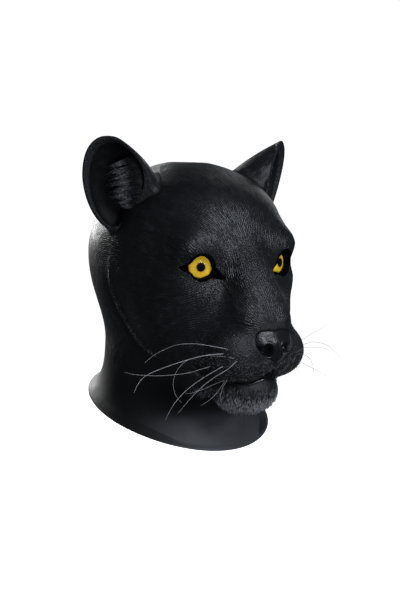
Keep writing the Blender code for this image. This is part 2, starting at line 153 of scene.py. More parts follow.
def of_neck(points):
    """Distance from the neck, which flares out just above the hem."""
    above = points[..., 2] - hem_height(points[..., 1])
    flare = HEM_FLARE * np.exp(-np.maximum(above, -0.02) / HEM_FLARE_FADE)
    across = NECK_HALF_WIDTH + flare
    along = NECK_HALF_DEPTH + flare
    back = points[..., 1] + 0.11 * EYE_REACH
    wall = (np.hypot(points[..., 0] / across, back / along) - 1.0) * np.minimum(across, along)
    return -blend(-wall, 0.2 * CROWN_RISE - points[..., 2], 0.3 * CROWN_RISE)


def head_form(points, hollow=False):
    """Distance from the outside of the head, or from the form of its hollow."""
    gap = None
    for mass in MASSES:
        if hollow and not mass.hollow:
            continue
        here = of_mass(points, mass)
        gap = here if gap is None else blend(gap, here, mass.fillet * CROWN_RISE)
    gap = blend(gap, of_neck(points), 0.26 * CROWN_RISE)
    if hollow:
        return gap + SKIN_WALL
    for side in (1, -1):
        from_eye = np.linalg.norm(points * (side, 1, 1) - EYE_MIDDLE, axis=-1)
        gap = blend(gap, from_eye - LENS_RADIUS - LID_COVER, 0.07 * CROWN_RISE)
    return gap


def surface_point(origins, ways, form=head_form, far=0.20, hops=33):
    """Where each line from inside the head last leaves the form."""
    inside = np.zeros(len(origins))
    steps = np.linspace(0.0, far, hops)
    for step in steps:
        inside = np.where(form(origins + ways * step) < 0, step, inside)
    low = inside
    high = inside + steps[1]
    for _ in range(13):
        middle = (low + high) / 2
        within = form(origins + ways * middle[:, None]) < 0
        low = np.where(within, middle, low)
        high = np.where(within, high, middle)
    return origins + ways * low[:, None]


# The planes that the skin is laid out on, from the hem to the crown: a point on the throat
# or face, one on the back of the head, where the middle lies between them, and how many
# rows are laid from this plane to the next.
Section = namedtuple("Section", "front_f front_z back_f back_z middle rows")
SECTIONS = [
    Section(0.87, -1.90, -1.04, -1.26, 0.50, 5),
    Section(0.77, -1.74, -0.94, -1.11, 0.50, 4),
    Section(0.72, -1.60, -0.90, -0.95, 0.50, 4),
    Section(0.74, -1.52, -0.91, -0.76, 0.50, 6),
    Section(0.88, -1.48, -0.95, -0.58, 0.48, 8),
    Section(1.02, -1.47, -0.99, -0.43, 0.46, 10),
    Section(1.18, -1.46, -1.02, -0.30, 0.43, 10),
    Section(1.30, -1.42, -1.04, -0.20, 0.40, 10),
    Section(1.38, -1.34, -1.06, -0.10, 0.38, 10),
    Section(1.41, -1.24, -1.07, -0.02, 0.36, 9),
    Section(1.44, -1.15, -1.08, 0.06, 0.36, 10),
    Section(1.51, -1.06, -1.07, 0.14, 0.36, 10),
    Section(1.56, -0.96, -1.06, 0.22, 0.36, 10),
    Section(1.59, -0.84, -1.04, 0.30, 0.36, 11),
    Section(1.60, -0.72, -1.01, 0.38, 0.36, 13),
    Section(1.52, -0.58, -0.98, 0.45, 0.36, 14),
    Section(1.45, -0.40, -0.94, 0.52, 0.37, 14),
    Section(1.34, -0.22, -0.90, 0.58, 0.38, 16),
    Section(1.19, -0.02, -0.84, 0.65, 0.40, 16),
    Section(1.11, 0.18, -0.77, 0.72, 0.42, 14),
    Section(1.02, 0.38, -0.68, 0.80, 0.45, 14),
    Section(0.88, 0.60, -0.57, 0.88, 0.48, 13),
    Section(0.66, 0.80, -0.44, 0.94, 0.50, 12),
    Section(0.40, 0.93, -0.28, 0.98, 0.50, 5),
    Section(0.27, 0.965, -0.20, 0.995, 0.50, 5),
    Section(0.13, 0.995, -0.11, 1.005, 0.50, 4),
    Section(0.05, 1.005, -0.05, 1.008, 0.50, 1),
]
SKIN_COLUMNS = 300
FACE_CROWDING = 0.52


def curve_point(four, t):
    """A place between the middle two of four points, on a smooth curve through them all."""
    a, b, c, d = four
    square = 2 * a - 5 * b + 4 * c - d
    cube = 3 * b - a - 3 * c + d
    return 0.5 * (2 * b + (c - a) * t + square * t**2 + cube * t**3)


def planes(share_of_rows):
    """The planes between those of the table, on a smooth curve through them."""
    table = np.array([row[:5] for row in SECTIONS], float)
    ends = np.vstack([2 * table[0] - table[1], table, 2 * table[-1] - table[-2]])
    out = []
    for i in range(1, len(ends) - 2):
        count = max(1, round(SECTIONS[i - 1].rows * share_of_rows))
        for t in np.arange(count) / count:
            out.append(curve_point(ends[i - 1 : i + 3], t))
    return np.array(out + [table[-1]])


def skin_grid(columns, share_of_rows, hollow):
    """Rings of points round the head, as rows of one array."""
    even = np.arange(-(columns // 2), columns // 2) / (columns / 2)
    turns = np.pi * (FACE_CROWDING * even + (1 - FACE_CROWDING) * even**3)
    origins = []
    ways = []
    for front_f, front_z, back_f, back_z, share in planes(share_of_rows):
        front = spot(0, front_f, front_z)
        back = spot(0, back_f, back_z)
        forward = (front - back) / np.linalg.norm(front - back)
        origins.append(np.tile(front + (back - front) * share, (columns, 1)))
        ways.append(np.outer(np.sin(turns), (1, 0, 0)) + np.outer(np.cos(turns), forward))
    rows = len(origins)
    found = surface_point(
        np.concatenate(origins), np.concatenate(ways), lambda points: head_form(points, hollow)
    )
    return found.reshape(rows, columns, 3)


outer = skin_grid(SKIN_COLUMNS, 1.0, False)
outer[0, :, 2] = hem_height(outer[0, :, 1])


def slopes(grid):
    """How the grid steps along its columns and along its rows, and its outward normal."""
    up = np.empty_like(grid)
    up[1:-1] = (grid[2:] - grid[:-2]) / 2
    up[0] = grid[1] - grid[0]
    up[-1] = grid[-1] - grid[-2]
    along = (np.roll(grid, -1, axis=1) - np.roll(grid, 1, axis=1)) / 2
    normal = np.cross(up, along)
    normal /= np.maximum(np.linalg.norm(normal, axis=-1, keepdims=True), 1e-12)
    return up, along, normal


def hair_way(points, normals):
    """Which way the fur lies: back from the nose, round the eyes, then down the back."""
    x = np.abs(points[..., 0])
    f = points[..., 1]
    z = points[..., 2]
    way = points - spot(0, 1.46, -0.62)
    way /= np.maximum(np.linalg.norm(way, axis=-1, keepdims=True), 1e-9)
    # It hangs at the sides, the back and the chin, and parts in the middle of the brow.
    side = ease(x, 0.025, 0.075) * ease(z, 0.09, -0.02)
    back = ease(f, 0.01, -0.07)
    way[..., 2] -= 0.42 * side + 1.5 * back
    chin = ease(z, -0.098, -0.118) * ease(f, 0.06, 0.10)
    way[..., 2] -= 1.2 * chin
    brow = ease(z, -0.005, 0.030) * ease(f, 0.0, 0.05)
    way[..., 0] += 0.40 * brow * np.clip(points[..., 0] / 0.03, -1, 1)
    # Round each eye it turns away from the pupil.
    for turn in (1, -1):
        from_eye = points * (turn, 1, 1) - (PUPIL + spot(0.02, 0, 0))
        apart = np.linalg.norm(from_eye, axis=-1, keepdims=True)
        push = 1.5 * np.exp(-((apart / 0.027) ** 2)) * from_eye / np.maximum(apart, 1e-9)
        way += push * (turn, 1, 1)
    way -= normals * (way * normals).sum(-1, keepdims=True)
    return way / np.maximum(np.linalg.norm(way, axis=-1, keepdims=True), 1e-9)


def sampled(field, row, column):
    """The field between its points, wrapped round the head."""
    rows, columns = field.shape
    row = np.clip(row, 0, rows - 1.001)
    r = row.astype(int)
    c = np.floor(column).astype(int)
    down = row - r
    right = column - c
    c %= columns
    d = (c + 1) % columns
    top = field[r, c] * (1 - right) + field[r, d] * right
    low = field[r + 1, c] * (1 - right) + field[r + 1, d] * right
    return top * (1 - down) + low * down


def combed(grid, up, along, way, length, seed):
    """Noise drawn out along the fur, as strokes of this length, on the points of the grid."""
    rows, columns = grid.shape[:2]
    grain = np.random.default_rng(seed).normal(size=(rows, columns))
    grain = (grain + 0.6 * np.roll(grain, 1, axis=1)) / 1.17
    aa = (up * up).sum(-1)
    bb = (along * along).sum(-1)
    ab = (up * along).sum(-1)
    ua = (up * way).sum(-1)
    ub = (along * way).sum(-1)
    det = np.maximum(aa * bb - ab * ab, 1e-16)
    row_step = (ua * bb - ub * ab) / det
    column_step = (ub * aa - ua * ab) / det
    hop = 0.0008
    hops = max(2, int(length / hop / 2))
    total = grain.copy()
    base_r, base_c = np.indices((rows, columns)).astype(float)
    for sign in (1, -1):
        r = base_r.copy()
        c = base_c.copy()
        for _ in range(hops):
            a = sampled(row_step, r, c)
            b = sampled(column_step, r, c)
            quick = np.maximum(1.0, np.hypot(a, b) * hop / 1.5)
            r = np.clip(r + sign * a * hop / quick, 0, rows - 1.001)
            c = c + sign * b * hop / quick
            total += sampled(grain, r, c)
    total -= total.mean()
    return total / total.std()


# How far the fur's strokes run on the skin and stand up from it.
STROKE_LENGTH = 0.012
STROKE_HEIGHT = 0.00006
LONG_STROKE_LENGTH = 0.018
LONG_STROKE_HEIGHT = 0.00004
up, along, normal = slopes(outer)
way = hair_way(outer, normal)
strokes = combed(outer, up, along, way, STROKE_LENGTH, 5)
long_strokes = combed(outer, up, along, way, LONG_STROKE_LENGTH, 11)

x = np.abs(outer[..., 0])
f = outer[..., 1]
z = outer[..., 2]
# Below, each form's place and depth is in metres, and ease fades it in between two places.
# The fur fades out into plain latex below the jaw and at the back of the neck.
neck_line = -0.125 + 0.030 * ease(f, 0.04, -0.08) - 0.012 * ease(f, 0.05, 0.11)
fur = ease(z, neck_line - 0.012, neck_line + 0.014)
# The face ends at the cheek in a low ridge with a dip behind it, where the fur is finer.
RIDGE_HEIGHT = 0.0023
RIDGE_WIDTH = 0.0032
DIP_PLACE = 0.0065
DIP_WIDTH = 0.0045
beyond = np.hypot(f - 0.80 * EYE_REACH, z + 0.15 * CROWN_RISE) - 0.78 * EYE_REACH
behind = ease(beyond, -0.002, 0.006) * ease(z, 0.055, 0.0)
dip = np.exp(-(((beyond - DIP_PLACE) / DIP_WIDTH) ** 2))
ridge = np.exp(-((beyond / RIDGE_WIDTH) ** 2)) - 0.6 * dip
ridge *= ease(f, 0.066, 0.050) * ease(z, 0.012, -0.045) * ease(z, -0.128, -0.105)
fur *= 1 - 0.5 * behind
# The lips are bare.
lip_height = -0.107 - 0.006 * ease(x, 0.0, 0.020) + 0.012 * ease(x, 0.040, 0.060)
from_lip = np.abs(z - lip_height) + 0.02 * ease(f, 0.10, 0.07)
fur *= ease(from_lip, 0.0015, 0.005)

relief = STROKE_HEIGHT * strokes + LONG_STROKE_HEIGHT * long_strokes
lift = relief * fur + RIDGE_HEIGHT * ridge
# The line between the lips is a groove, which widens into a cleft below the nose.
LIP_LINE_DEPTH = 0.0044
CLEFT_DEPTH = 0.0066
lip_gap = 0.0010 + 0.0011 * ease(x, 0.034, 0.004)
lip_line = np.exp(-(((z - lip_height) / lip_gap) ** 2))
lift -= LIP_LINE_DEPTH * lip_line * ease(f, 0.085, 0.105) * (z > -0.125)
under_nose = 0.0012 + 0.0056 * ease(z, -0.098, -0.107)
cleft = np.exp(-((x / under_nose) ** 2)) * ease(z, -0.096, -0.104)
cleft *= ease(z, -0.112, -0.107) * (f > 0.12)
lift -= CLEFT_DEPTH * cleft
# Each corner of the mouth is a deep fold below the whisker pad.
FOLD_DEPTH = 0.0052
FOLD_WIDTH = 0.0034
fold_start = spot(0.55, 1.00, -0.97)
fold_way = spot(0.43, 1.25, -1.115) - fold_start
from_start = np.stack([x, f, z], axis=-1) - fold_start
fold_share = np.clip((from_start * fold_way).sum(-1) / (fold_way * fold_way).sum(), 0, 1)
from_fold = np.linalg.norm(from_start - fold_share[..., None] * fold_way, axis=-1)
fold = np.exp(-((from_fold / FOLD_WIDTH) ** 2))
lift -= FOLD_DEPTH * fold
fur *= 1 - fold
# A fine line with bare latex beside it parts the two pads, from the cleft up to the nose.
PARTING_DEPTH = 0.0024
PARTING_WIDTH = 0.0013
BARE_WIDTH = 0.0022
below_nose = ease(z, -0.084, -0.090)
parting = np.exp(-((x / PARTING_WIDTH) ** 2)) * ease(z, -0.107, -0.103) * below_nose
lift -= PARTING_DEPTH * parting * ease(f, 0.12, 0.14)
bare = np.exp(-((x / BARE_WIDTH) ** 2)) * ease(z, -0.110, -0.104) * below_nose
fur *= 1 - bare * (f > 0.12)
# Under the nose the skin is sunk, to leave room for the bare nose with its nostrils.
NOSE_BED_DEPTH = 0.0085
NOSE_MIDDLE = spot(0.0, 1.60, -0.735)
NOSE_ROOT = spot(0.0, 1.12, -0.74)
# The edge of the bare nose seen from in front: across and up from its middle, in shares.
NoseEdge = namedtuple("NoseEdge", "across up")
NOSE_EDGE = [
    NoseEdge(0.000, 0.150),
    NoseEdge(0.120, 0.158),
    NoseEdge(0.205, 0.158),
    NoseEdge(0.262, 0.125),
    NoseEdge(0.278, 0.055),
    NoseEdge(0.262, -0.020),
    NoseEdge(0.205, -0.082),
    NoseEdge(0.135, -0.130),
    NoseEdge(0.065, -0.168),
    NoseEdge(0.030, -0.188),
    NoseEdge(0.000, -0.195),
]


def nose_reach(angle):
    """How far the bare nose reaches at this angle from straight up, in radians."""
    table = np.array(NOSE_EDGE) * (EYE_SPACING, CROWN_RISE)
    at = np.arctan2(table[:, 0], table[:, 1])
    return np.interp(np.abs(angle), at, np.hypot(table[:, 0], table[:, 1]))


toward = outer - NOSE_ROOT
ahead = NOSE_MIDDLE[1] - NOSE_ROOT[1]
on_plate = NOSE_ROOT + toward * (ahead / np.maximum(toward[..., 1:2], 0.01))
plate_x = on_plate[..., 0]
plate_z = on_plate[..., 2] - NOSE_MIDDLE[2]
plate = np.hypot(plate_x, plate_z) / nose_reach(np.arctan2(np.abs(plate_x), plate_z))
bed = ease(plate, 0.97, 0.88) * (f > 0.11)
lift -= NOSE_BED_DEPTH * bed
fur *= ease(plate, 0.98, 1.10) * (f > 0.11) + (f <= 0.11)

# Over the lenses the skin goes back behind the domes, out of sight under the lids. The
# opening is round, with a long corner at its nose side and a short one at its cheek side.
OPENING_HALF = 0.0121
INNER_CORNER = 0.0250
INNER_ANGLE = -26.0
OUTER_CORNER = 0.0210
OUTER_ANGLE = 182.0
CORNER_SPREAD = 30.0
# How far the skin and its lining stop from the flat back of the lens, in front and behind.
SKIN_BEFORE_BACK = 0.0012
LINING_BEHIND_BACK = 0.0016


def opening_reach(angle):
    """How far the eye opening reaches at this angle, in degrees from the nose side."""
    reach = np.full(np.shape(angle), OPENING_HALF)
    foot = OPENING_HALF * 0.9
    for corner, at in ((INNER_CORNER, INNER_ANGLE), (OUTER_CORNER, OUTER_ANGLE)):
        off = np.abs((angle - at + 180) % 360 - 180) / CORNER_SPREAD
        reach = np.maximum(reach, foot + (corner - foot) * (1 - np.minimum(off, 1)) ** 1.6)
    return reach


def in_eye(points, side):
    """Across from the pupil towards the nose, up, and out along the look of the eye."""
    local = (points * (side, 1, 1) - EYE_MIDDLE) @ EYE_AXES
    return -local[..., 0], local[..., 2], local[..., 1]


def push_back(grid, side, out, furthest, share):
    """Sinks the points that stand further out than this along the look of the eye."""
    push = np.where(out > furthest, out - furthest, 0.0) * share
    grid -= push[..., None] * (EYE_AXES[:, 1] * (side, 1, 1))


shell = outer + normal * lift[..., None]
opening = np.zeros(x.shape)
for side in (1, -1):
    across, high, out = in_eye(shell, side)
    near = (out > 0) & (np.hypot(across, high) < 0.05) & (shell[..., 0] * side > 0)
    spread = np.hypot(across, high) - opening_reach(np.degrees(np.arctan2(high, across)))
    hole = ease(spread, 0.0012, -0.0008) * near
    push_back(shell, side, out, LENS_RADIUS - LENS_DEPTH + SKIN_BEFORE_BACK, hole)
    opening = np.maximum(opening, hole)
fur *= 1 - opening

# The hollow inside, and the rolled edge that joins it to the outside at the hem.
INNER_ROWS = 0.22
inner = skin_grid(SKIN_COLUMNS, INNER_ROWS, True)
inner[0, :, 2] = hem_height(inner[0, :, 1])
for side in (1, -1):
    across, high, out = in_eye(inner, side)
    near = (out > 0) & (inner[..., 0] * side > 0)
    hole = ease(np.hypot(across, high), 0.030, 0.024) * near
    push_back(inner, side, out, LENS_RADIUS - LENS_DEPTH - LINING_BEHIND_BACK, hole)
edge = [
    outer[0] * 0.82 + inner[0] * 0.18 - (0, 0, 0.0007),
    outer[0] * 0.5 + inner[0] * 0.5 - (0, 0, 0.0010),
    outer[0] * 0.18 + inner[0] * 0.82 - (0, 0, 0.0007),
]


def smooth_piece(name, points, faces):
    """One smooth-shaded piece, with its faces pointing outwards."""
    mesh = bpy.data.meshes.new(name)
    mesh.from_pydata(points, [], faces)
    mesh.update()
    form = bmesh.new()
    form.from_mesh(mesh)
    bmesh.ops.recalc_face_normals(form, faces=form.faces)
    form.to_mesh(mesh)
    form.free()
    for face in mesh.polygons:
        face.use_smooth = True
    made = bpy.data.objects.new(name, mesh)
    bpy.context.scene.collection.objects.link(made)
    return made


def closed_loft(name, rings, close_ends=True):
    """One smooth skin through rings of the same number of points."""
    rings = np.asarray(rings)
    rows, columns = rings.shape[:2]
    points = list(map(tuple, to_world(rings).reshape(-1, 3)))
    faces = []
    for low in range(0, (rows - 1) * columns, columns):
        high = low + columns
        for c in range(columns):
            d = (c + 1) % columns
            faces.append((low + c, low + d, high + d, high + c))
    if close_ends:
        for r, turned in ((0, True), (rows - 1, False)):
            hub = len(points)
            points.append(tuple(to_world(rings[r].mean(axis=0))))
            for c in range(columns):
                d = (c + 1) % columns
                a, b = r * columns + c, r * columns + d
                faces.append((b, a, hub) if turned else (a, b, hub))
    return smooth_piece(name, points, faces)


def written(made, name, values, kind="FLOAT"):
    """Keeps values on the points of a mesh, for its material to read."""
    held = made.data.attributes.new(name, kind, "POINT")
    values = np.asarray(values, np.float32)
    short = len(made.data.vertices) - len(values)
    if short > 0:
        values = np.concatenate([values, np.zeros((short,) + values.shape[1:], np.float32)])
    held.data.foreach_set("vector" if kind == "FLOAT_VECTOR" else "value", values.ravel())


def across_fur(way, normals):
    """The way across the hairs, in the part's own X, Y and Z."""
    across = np.cross(way, normals)
    return np.stack([across[..., 0], -across[..., 1], across[..., 2]], axis=-1)


# From the crown's inside down the hollow, round the hem, and up the outside.
lining = inner[::-1]
rings = np.concatenate([lining, np.array(edge)[::-1], shell])
skin = closed_loft("panther_skin", rings)
before = len(lining) + len(edge)
plain = np.zeros((before, SKIN_COLUMNS))
written(skin, "fur", np.concatenate([plain, fur]).ravel())
written(skin, "stroke", np.concatenate([plain, strokes]).ravel())
flat_way = np.zeros((before, SKIN_COLUMNS, 3)) + (1, 0, 0)
sideways = np.concatenate([flat_way, across_fur(way, normal)])
written(skin, "across_fur", sideways.reshape(-1, 3), "FLOAT_VECTOR")
# Lighter places: lighter hair on the beard and the whisker pads, and painted highlight
# on the cheek's ridge and a little of the bridge.
beard = ease(z, -0.112, -0.132) * ease(f, 0.085, 0.105) * fur
pads = ease(z, -0.052, -0.074) * ease(z, -0.116, -0.110) * ease(f, 0.090, 0.112)
bridge = np.exp(-((x / 0.024) ** 2)) * ease(z, -0.055, -0.025) * ease(z, 0.040, 0.015)
bridge *= f > 0.08
lighter_hair_and_highlight_mask = np.maximum(np.maximum(beard, 0.45 * pads), np.maximum(3.5 * ridge, 0.30 * bridge))
written(skin, "lighter_hair_and_highlight", np.concatenate([plain, lighter_hair_and_highlight_mask]).ravel())
# The bib below the jaw is painted a little lighter, as painted sheen on the throat.
painted_throat_sheen = 0.34 * ease(f, 0.015, 0.080) * ease(z, -0.146, -0.164)
written(skin, "painted_throat_sheen", np.concatenate([plain, painted_throat_sheen]).ravel())


def wired(name):
    """A new material, with its nodes, its links and its shader."""
    material = bpy.data.materials.new(name)
    material.use_nodes = True
    tree = material.node_tree
    return material, tree.nodes, tree.links, tree.nodes["Principled BSDF"]


def maths(nodes, links, kind, *inputs):
    """One sum on sockets or numbers."""
    node = nodes.new("ShaderNodeMath")
    node.operation = kind
    for socket, value in zip(node.inputs, inputs):
        if isinstance(value, (int, float)):
            socket.default_value = value
        else:
            links.new(value, socket)
    return node.outputs[0]


def kept_value(nodes, label, output="Fac"):
    """What is kept under this name on the points of the mesh."""
    node = nodes.new("ShaderNodeAttribute")
    node.attribute_name = label
    return node.outputs[output]


def speckles(nodes, links, place, scale, detail=2.0):
    """A soft uneven pattern on a place, finer with a greater scale."""
    node = nodes.new("ShaderNodeTexNoise")
    node.inputs["Scale"].default_value = scale
    node.inputs["Detail"].default_value = detail
    links.new(place, node.inputs["Vector"])
    return node.outputs["Fac"]


def stretched(nodes, links, value, low, high, new_low=0.0, new_high=1.0):
    """The value between two limits, brought to lie between two others."""
    node = nodes.new("ShaderNodeMapRange")
    node.inputs["From Min"].default_value = low
    node.inputs["From Max"].default_value = high
    node.inputs["To Min"].default_value = new_low
    node.inputs["To Max"].default_value = new_high
    links.new(value, node.inputs["Value"])
    return node.outputs["Result"]


def two_colours(nodes, links, share, first, second):
    """From the first colour or socket, at a share of 0, to the second at 1."""
    node = nodes.new("ShaderNodeMix")
    node.data_type = "RGBA"
    for label, colour in (("A", first), ("B", second)):
        if isinstance(colour, tuple):
            node.inputs[label].default_value = (*colour, 1.0)
        else:
            links.new(colour, node.inputs[label])
    links.new(share, node.inputs["Factor"])
    return node.outputs["Result"]


def raised(nodes, links, shader, height, strength, distance):
    """Raises the surface, to the eye only, by a height on a scale of this distance."""
    node = nodes.new("ShaderNodeBump")
    node.inputs["Strength"].default_value = strength
    node.inputs["Distance"].default_value = distance
    links.new(height, node.inputs["Height"])
    links.new(node.outputs["Normal"], shader.inputs["Normal"])


def hair_noise(nodes, links, place, across, scale, frequency):
    """Strokes that lie along the fur: one layer of hairs of a given fineness."""
    hair = nodes.new("ShaderNodeTexGabor")
    hair.gabor_type = "3D"
    hair.inputs["Scale"].default_value = scale
    hair.inputs["Frequency"].default_value = frequency
    hair.inputs["Anisotropy"].default_value = 1.0
    links.new(place, hair.inputs["Vector"])
    for socket in hair.inputs:
        if socket.name == "Orientation" and socket.type == "VECTOR":
            links.new(across, socket)
    return hair.outputs["Value"]


BARE_BLACK = (0.0034, 0.0034, 0.0038)
HAIR_CREST = (0.0260, 0.0280, 0.0330)
LIGHTER_HAIR_AND_SHEEN = (0.085, 0.089, 0.100)


def furred_latex(name, shine):
    """Black cast latex with carved fur: satin, a little bluer and glossier on the hair crests."""
    made, nodes, links, shader = wired(name)
    place = nodes.new("ShaderNodeTexCoord").outputs["Object"]
    fur_share = kept_value(nodes, "fur")
    lighter_hair_and_highlight_share = kept_value(nodes, "lighter_hair_and_highlight")
    across = kept_value(nodes, "across_fur", "Vector")
    wide = hair_noise(nodes, links, place, across, 125.0, 3.7)
    fine = hair_noise(nodes, links, place, across, 190.0, 3.6)
    both = maths(nodes, links, "MULTIPLY_ADD", fine, 0.40, wide)
    hairs = maths(nodes, links, "MULTIPLY", both, fur_share)
    pores = speckles(nodes, links, place, 620.0)
    dents = speckles(nodes, links, place, 60.0, 4.0)
    speckled = maths(nodes, links, "MULTIPLY_ADD", fur_share, 0.75, 0.25)
    speckled = maths(nodes, links, "MULTIPLY_ADD", lighter_hair_and_highlight_share, 3.2, speckled)
    speckle = maths(nodes, links, "MULTIPLY", pores, speckled)
    grain = maths(nodes, links, "MULTIPLY_ADD", speckle, 0.5, hairs)
    height = maths(nodes, links, "MULTIPLY_ADD", dents, 0.5, grain)
    raised(nodes, links, shader, height, 1.0, 0.00085)
    # Bare latex is black, and the dusty crests of the hairs a little lighter.
    peak = maths(nodes, links, "MAXIMUM", maths(nodes, links, "SUBTRACT", both, 0.76), 0.0)
    locks = maths(nodes, links, "MAXIMUM", kept_value(nodes, "stroke"), 0.0)
    dots = maths(nodes, links, "MAXIMUM", maths(nodes, links, "SUBTRACT", pores, 0.54), 0.0)
    dotted = maths(nodes, links, "MULTIPLY_ADD", lighter_hair_and_highlight_share, 7.0, 0.8)
    dots = maths(nodes, links, "MULTIPLY", dots, dotted)
    fuzz = maths(nodes, links, "MULTIPLY_ADD", locks, 0.08, dots)
    dusty = maths(nodes, links, "MULTIPLY_ADD", peak, 4.5, fuzz)
    crest = maths(nodes, links, "MULTIPLY", dusty, fur_share)
    on_crest = maths(nodes, links, "MULTIPLY", crest, 0.8)
    tint = two_colours(nodes, links, on_crest, BARE_BLACK, HAIR_CREST)
    # Lighter hair, the painted highlight and the painted sheen on the throat blend towards a light
    # grey.
    lighter_hair_and_highlight = maths(nodes, links, "MULTIPLY", lighter_hair_and_highlight_share, crest)
    lighter_and_sheen_share = maths(nodes, links, "MULTIPLY_ADD", lighter_hair_and_highlight, 0.5, kept_value(nodes, "painted_throat_sheen"))
    lighter_and_sheen_colour = two_colours(nodes, links, lighter_and_sheen_share, tint, LIGHTER_HAIR_AND_SHEEN)
    links.new(lighter_and_sheen_colour, shader.inputs["Base Color"])
    uneven = stretched(nodes, links, dents, 0.3, 0.7, 0.54, 0.64)
    satin = maths(nodes, links, "MULTIPLY", fur_share, -0.20)
    links.new(maths(nodes, links, "ADD", uneven, satin), shader.inputs["Roughness"])
    shader.inputs["Specular IOR Level"].default_value = shine
    return made


fur_latex = furred_latex("furred_black_latex", shine=0.5)
skin.data.materials.append(fur_latex)
# Under the lids and deep in the mouth the skin gets a dull copy of its latex, as painted shade
# in these recesses, so that no light is caught there.
SUNK_FROM = 0.45
skin.data.materials.append(furred_latex("shaded_recess_latex", shine=0.05))
shaded_recess = np.concatenate([plain, np.maximum(opening, np.maximum(cleft, fold))])[:-1]
for face, deep in zip(skin.data.polygons, shaded_recess.ravel() > SUNK_FROM):
    face.material_index = int(deep)
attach(skin, "root")
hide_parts("mask_skin")

# Ears. Each is an open cup cast in one with the head: a thin wall with a rolled
# rim, swelling into the skull at its root, and bare latex inside the bowl.
EAR_WIDTH = 0.066
EAR_HEIGHT = 0.096
EAR_ROOT_WIDTH = 0.050
EAR_ROOT_LENGTH = 0.064
EAR_ROOT_MIDDLE = spot(0.62, 0.13, 0.56)
EAR_RIM_MIDDLE = spot(0.98, 0.25, 0.80)
EAR_YAW = 42.0
EAR_TALL = np.array([0.229, 0.070, 0.971])
EAR_OUT = np.array([math.cos(math.radians(EAR_YAW)), -math.sin(math.radians(EAR_YAW)), 0.0])
EAR_OUT -= EAR_TALL * EAR_OUT.dot(EAR_TALL)
EAR_OUT /= np.linalg.norm(EAR_OUT)
EAR_AHEAD = np.cross(EAR_TALL, EAR_OUT)
EAR_LEFT_DROP = 0.0035
EAR_BULGE = 0.04
EAR_FOOT = 0.009
EAR_SUNK_FOOT = 0.0009
EAR_RIM_WALL = 0.0021
EAR_BOWL_WALL = 0.0042
EAR_BOWL_DEPTH = 0.56
EAR_COLUMNS = 112
CONE_STEPS = 60
FOOT_RINGS = 10
CONE_RINGS = 22
RIM_RINGS = 9
BOWL_RINGS = 24
# The rim's outline against a plain oval, and how far it bends forwards, by the angle from
# its outer side over the top.
Rim = namedtuple("Rim", "angle reach forward")
RIM = [
    Rim(0, 0.98, 0.030),
    Rim(30, 1.01, 0.034),
    Rim(45, 1.04, 0.030),
    Rim(60, 1.05, 0.020),
    Rim(75, 1.04, 0.004),
    Rim(90, 1.00, -0.010),
    Rim(105, 0.985, -0.006),
    Rim(120, 0.955, 0.006),
    Rim(140, 0.965, 0.012),
    Rim(155, 1.01, 0.014),
    Rim(172, 1.02, 0.014),
    Rim(190, 0.94, 0.010),
    Rim(212, 0.83, 0.004),
    Rim(235, 0.79, 0.000),
    Rim(255, 0.81, 0.000),
    Rim(270, 0.90, 0.000),
    Rim(282, 1.01, 0.000),
    Rim(294, 1.05, 0.002),
    Rim(316, 1.03, 0.010),
    Rim(340, 0.99, 0.022),
]


def evened(values, times):
    """Values round a ring, each drawn towards its neighbours."""
    for _ in range(times):
        values = (np.roll(values, 1) + 2 * values + np.roll(values, -1)) / 4
    return values


def ear_ring(share, inset, drop):
    """A ring round the ear, from its root in the head at 0 to its rim at 1."""
    turns = 2 * np.pi * np.arange(EAR_COLUMNS) / EAR_COLUMNS
    table = np.array(RIM)
    reach = evened(np.interp(np.degrees(turns), table[:, 0], table[:, 1], period=360), 3)
    forward = np.interp(np.degrees(turns), table[:, 0], table[:, 2], period=360)
    rim = (
        EAR_RIM_MIDDLE
        - (0, 0, drop)
        + np.outer(np.cos(turns) * reach * EAR_WIDTH / 2, EAR_OUT)
        + np.outer(np.sin(turns) * reach * EAR_HEIGHT / 2, EAR_TALL)
        + np.outer(forward * EAR_HEIGHT, EAR_AHEAD)
    )
    root = (
        EAR_ROOT_MIDDLE
        + np.outer(np.cos(turns) * EAR_ROOT_WIDTH / 2, (0, -1, 0))
        + np.outer(np.sin(turns) * EAR_ROOT_LENGTH / 2, (-0.62, 0.0, 0.78))
    )
    ring = root * (1 - share) + rim * share
    middle = ring.mean(axis=0)
    spokes = ring - middle
    length = np.linalg.norm(spokes, axis=1)[:, None]
    bulge = EAR_BULGE * EAR_HEIGHT * math.sin(math.pi * min(share, 1.0))
    return middle + spokes * (1 + (bulge - inset) / length)


def last_below(gaps, level):
    """For each column of the ear, the last of its rings that is nearer the skull than this."""
    return np.array([np.nonzero(gaps[:, c] < level)[0].max(initial=0) for c in range(EAR_COLUMNS)])


def steepness(points, step=0.0004):
    """The distance from the head, and how it grows along each of the three ways."""
    gap = head_form(points)
    grown = [head_form(points + np.eye(3)[i] * step) for i in range(3)]
    return gap, np.stack([(other - gap) / step for other in grown], axis=-1)


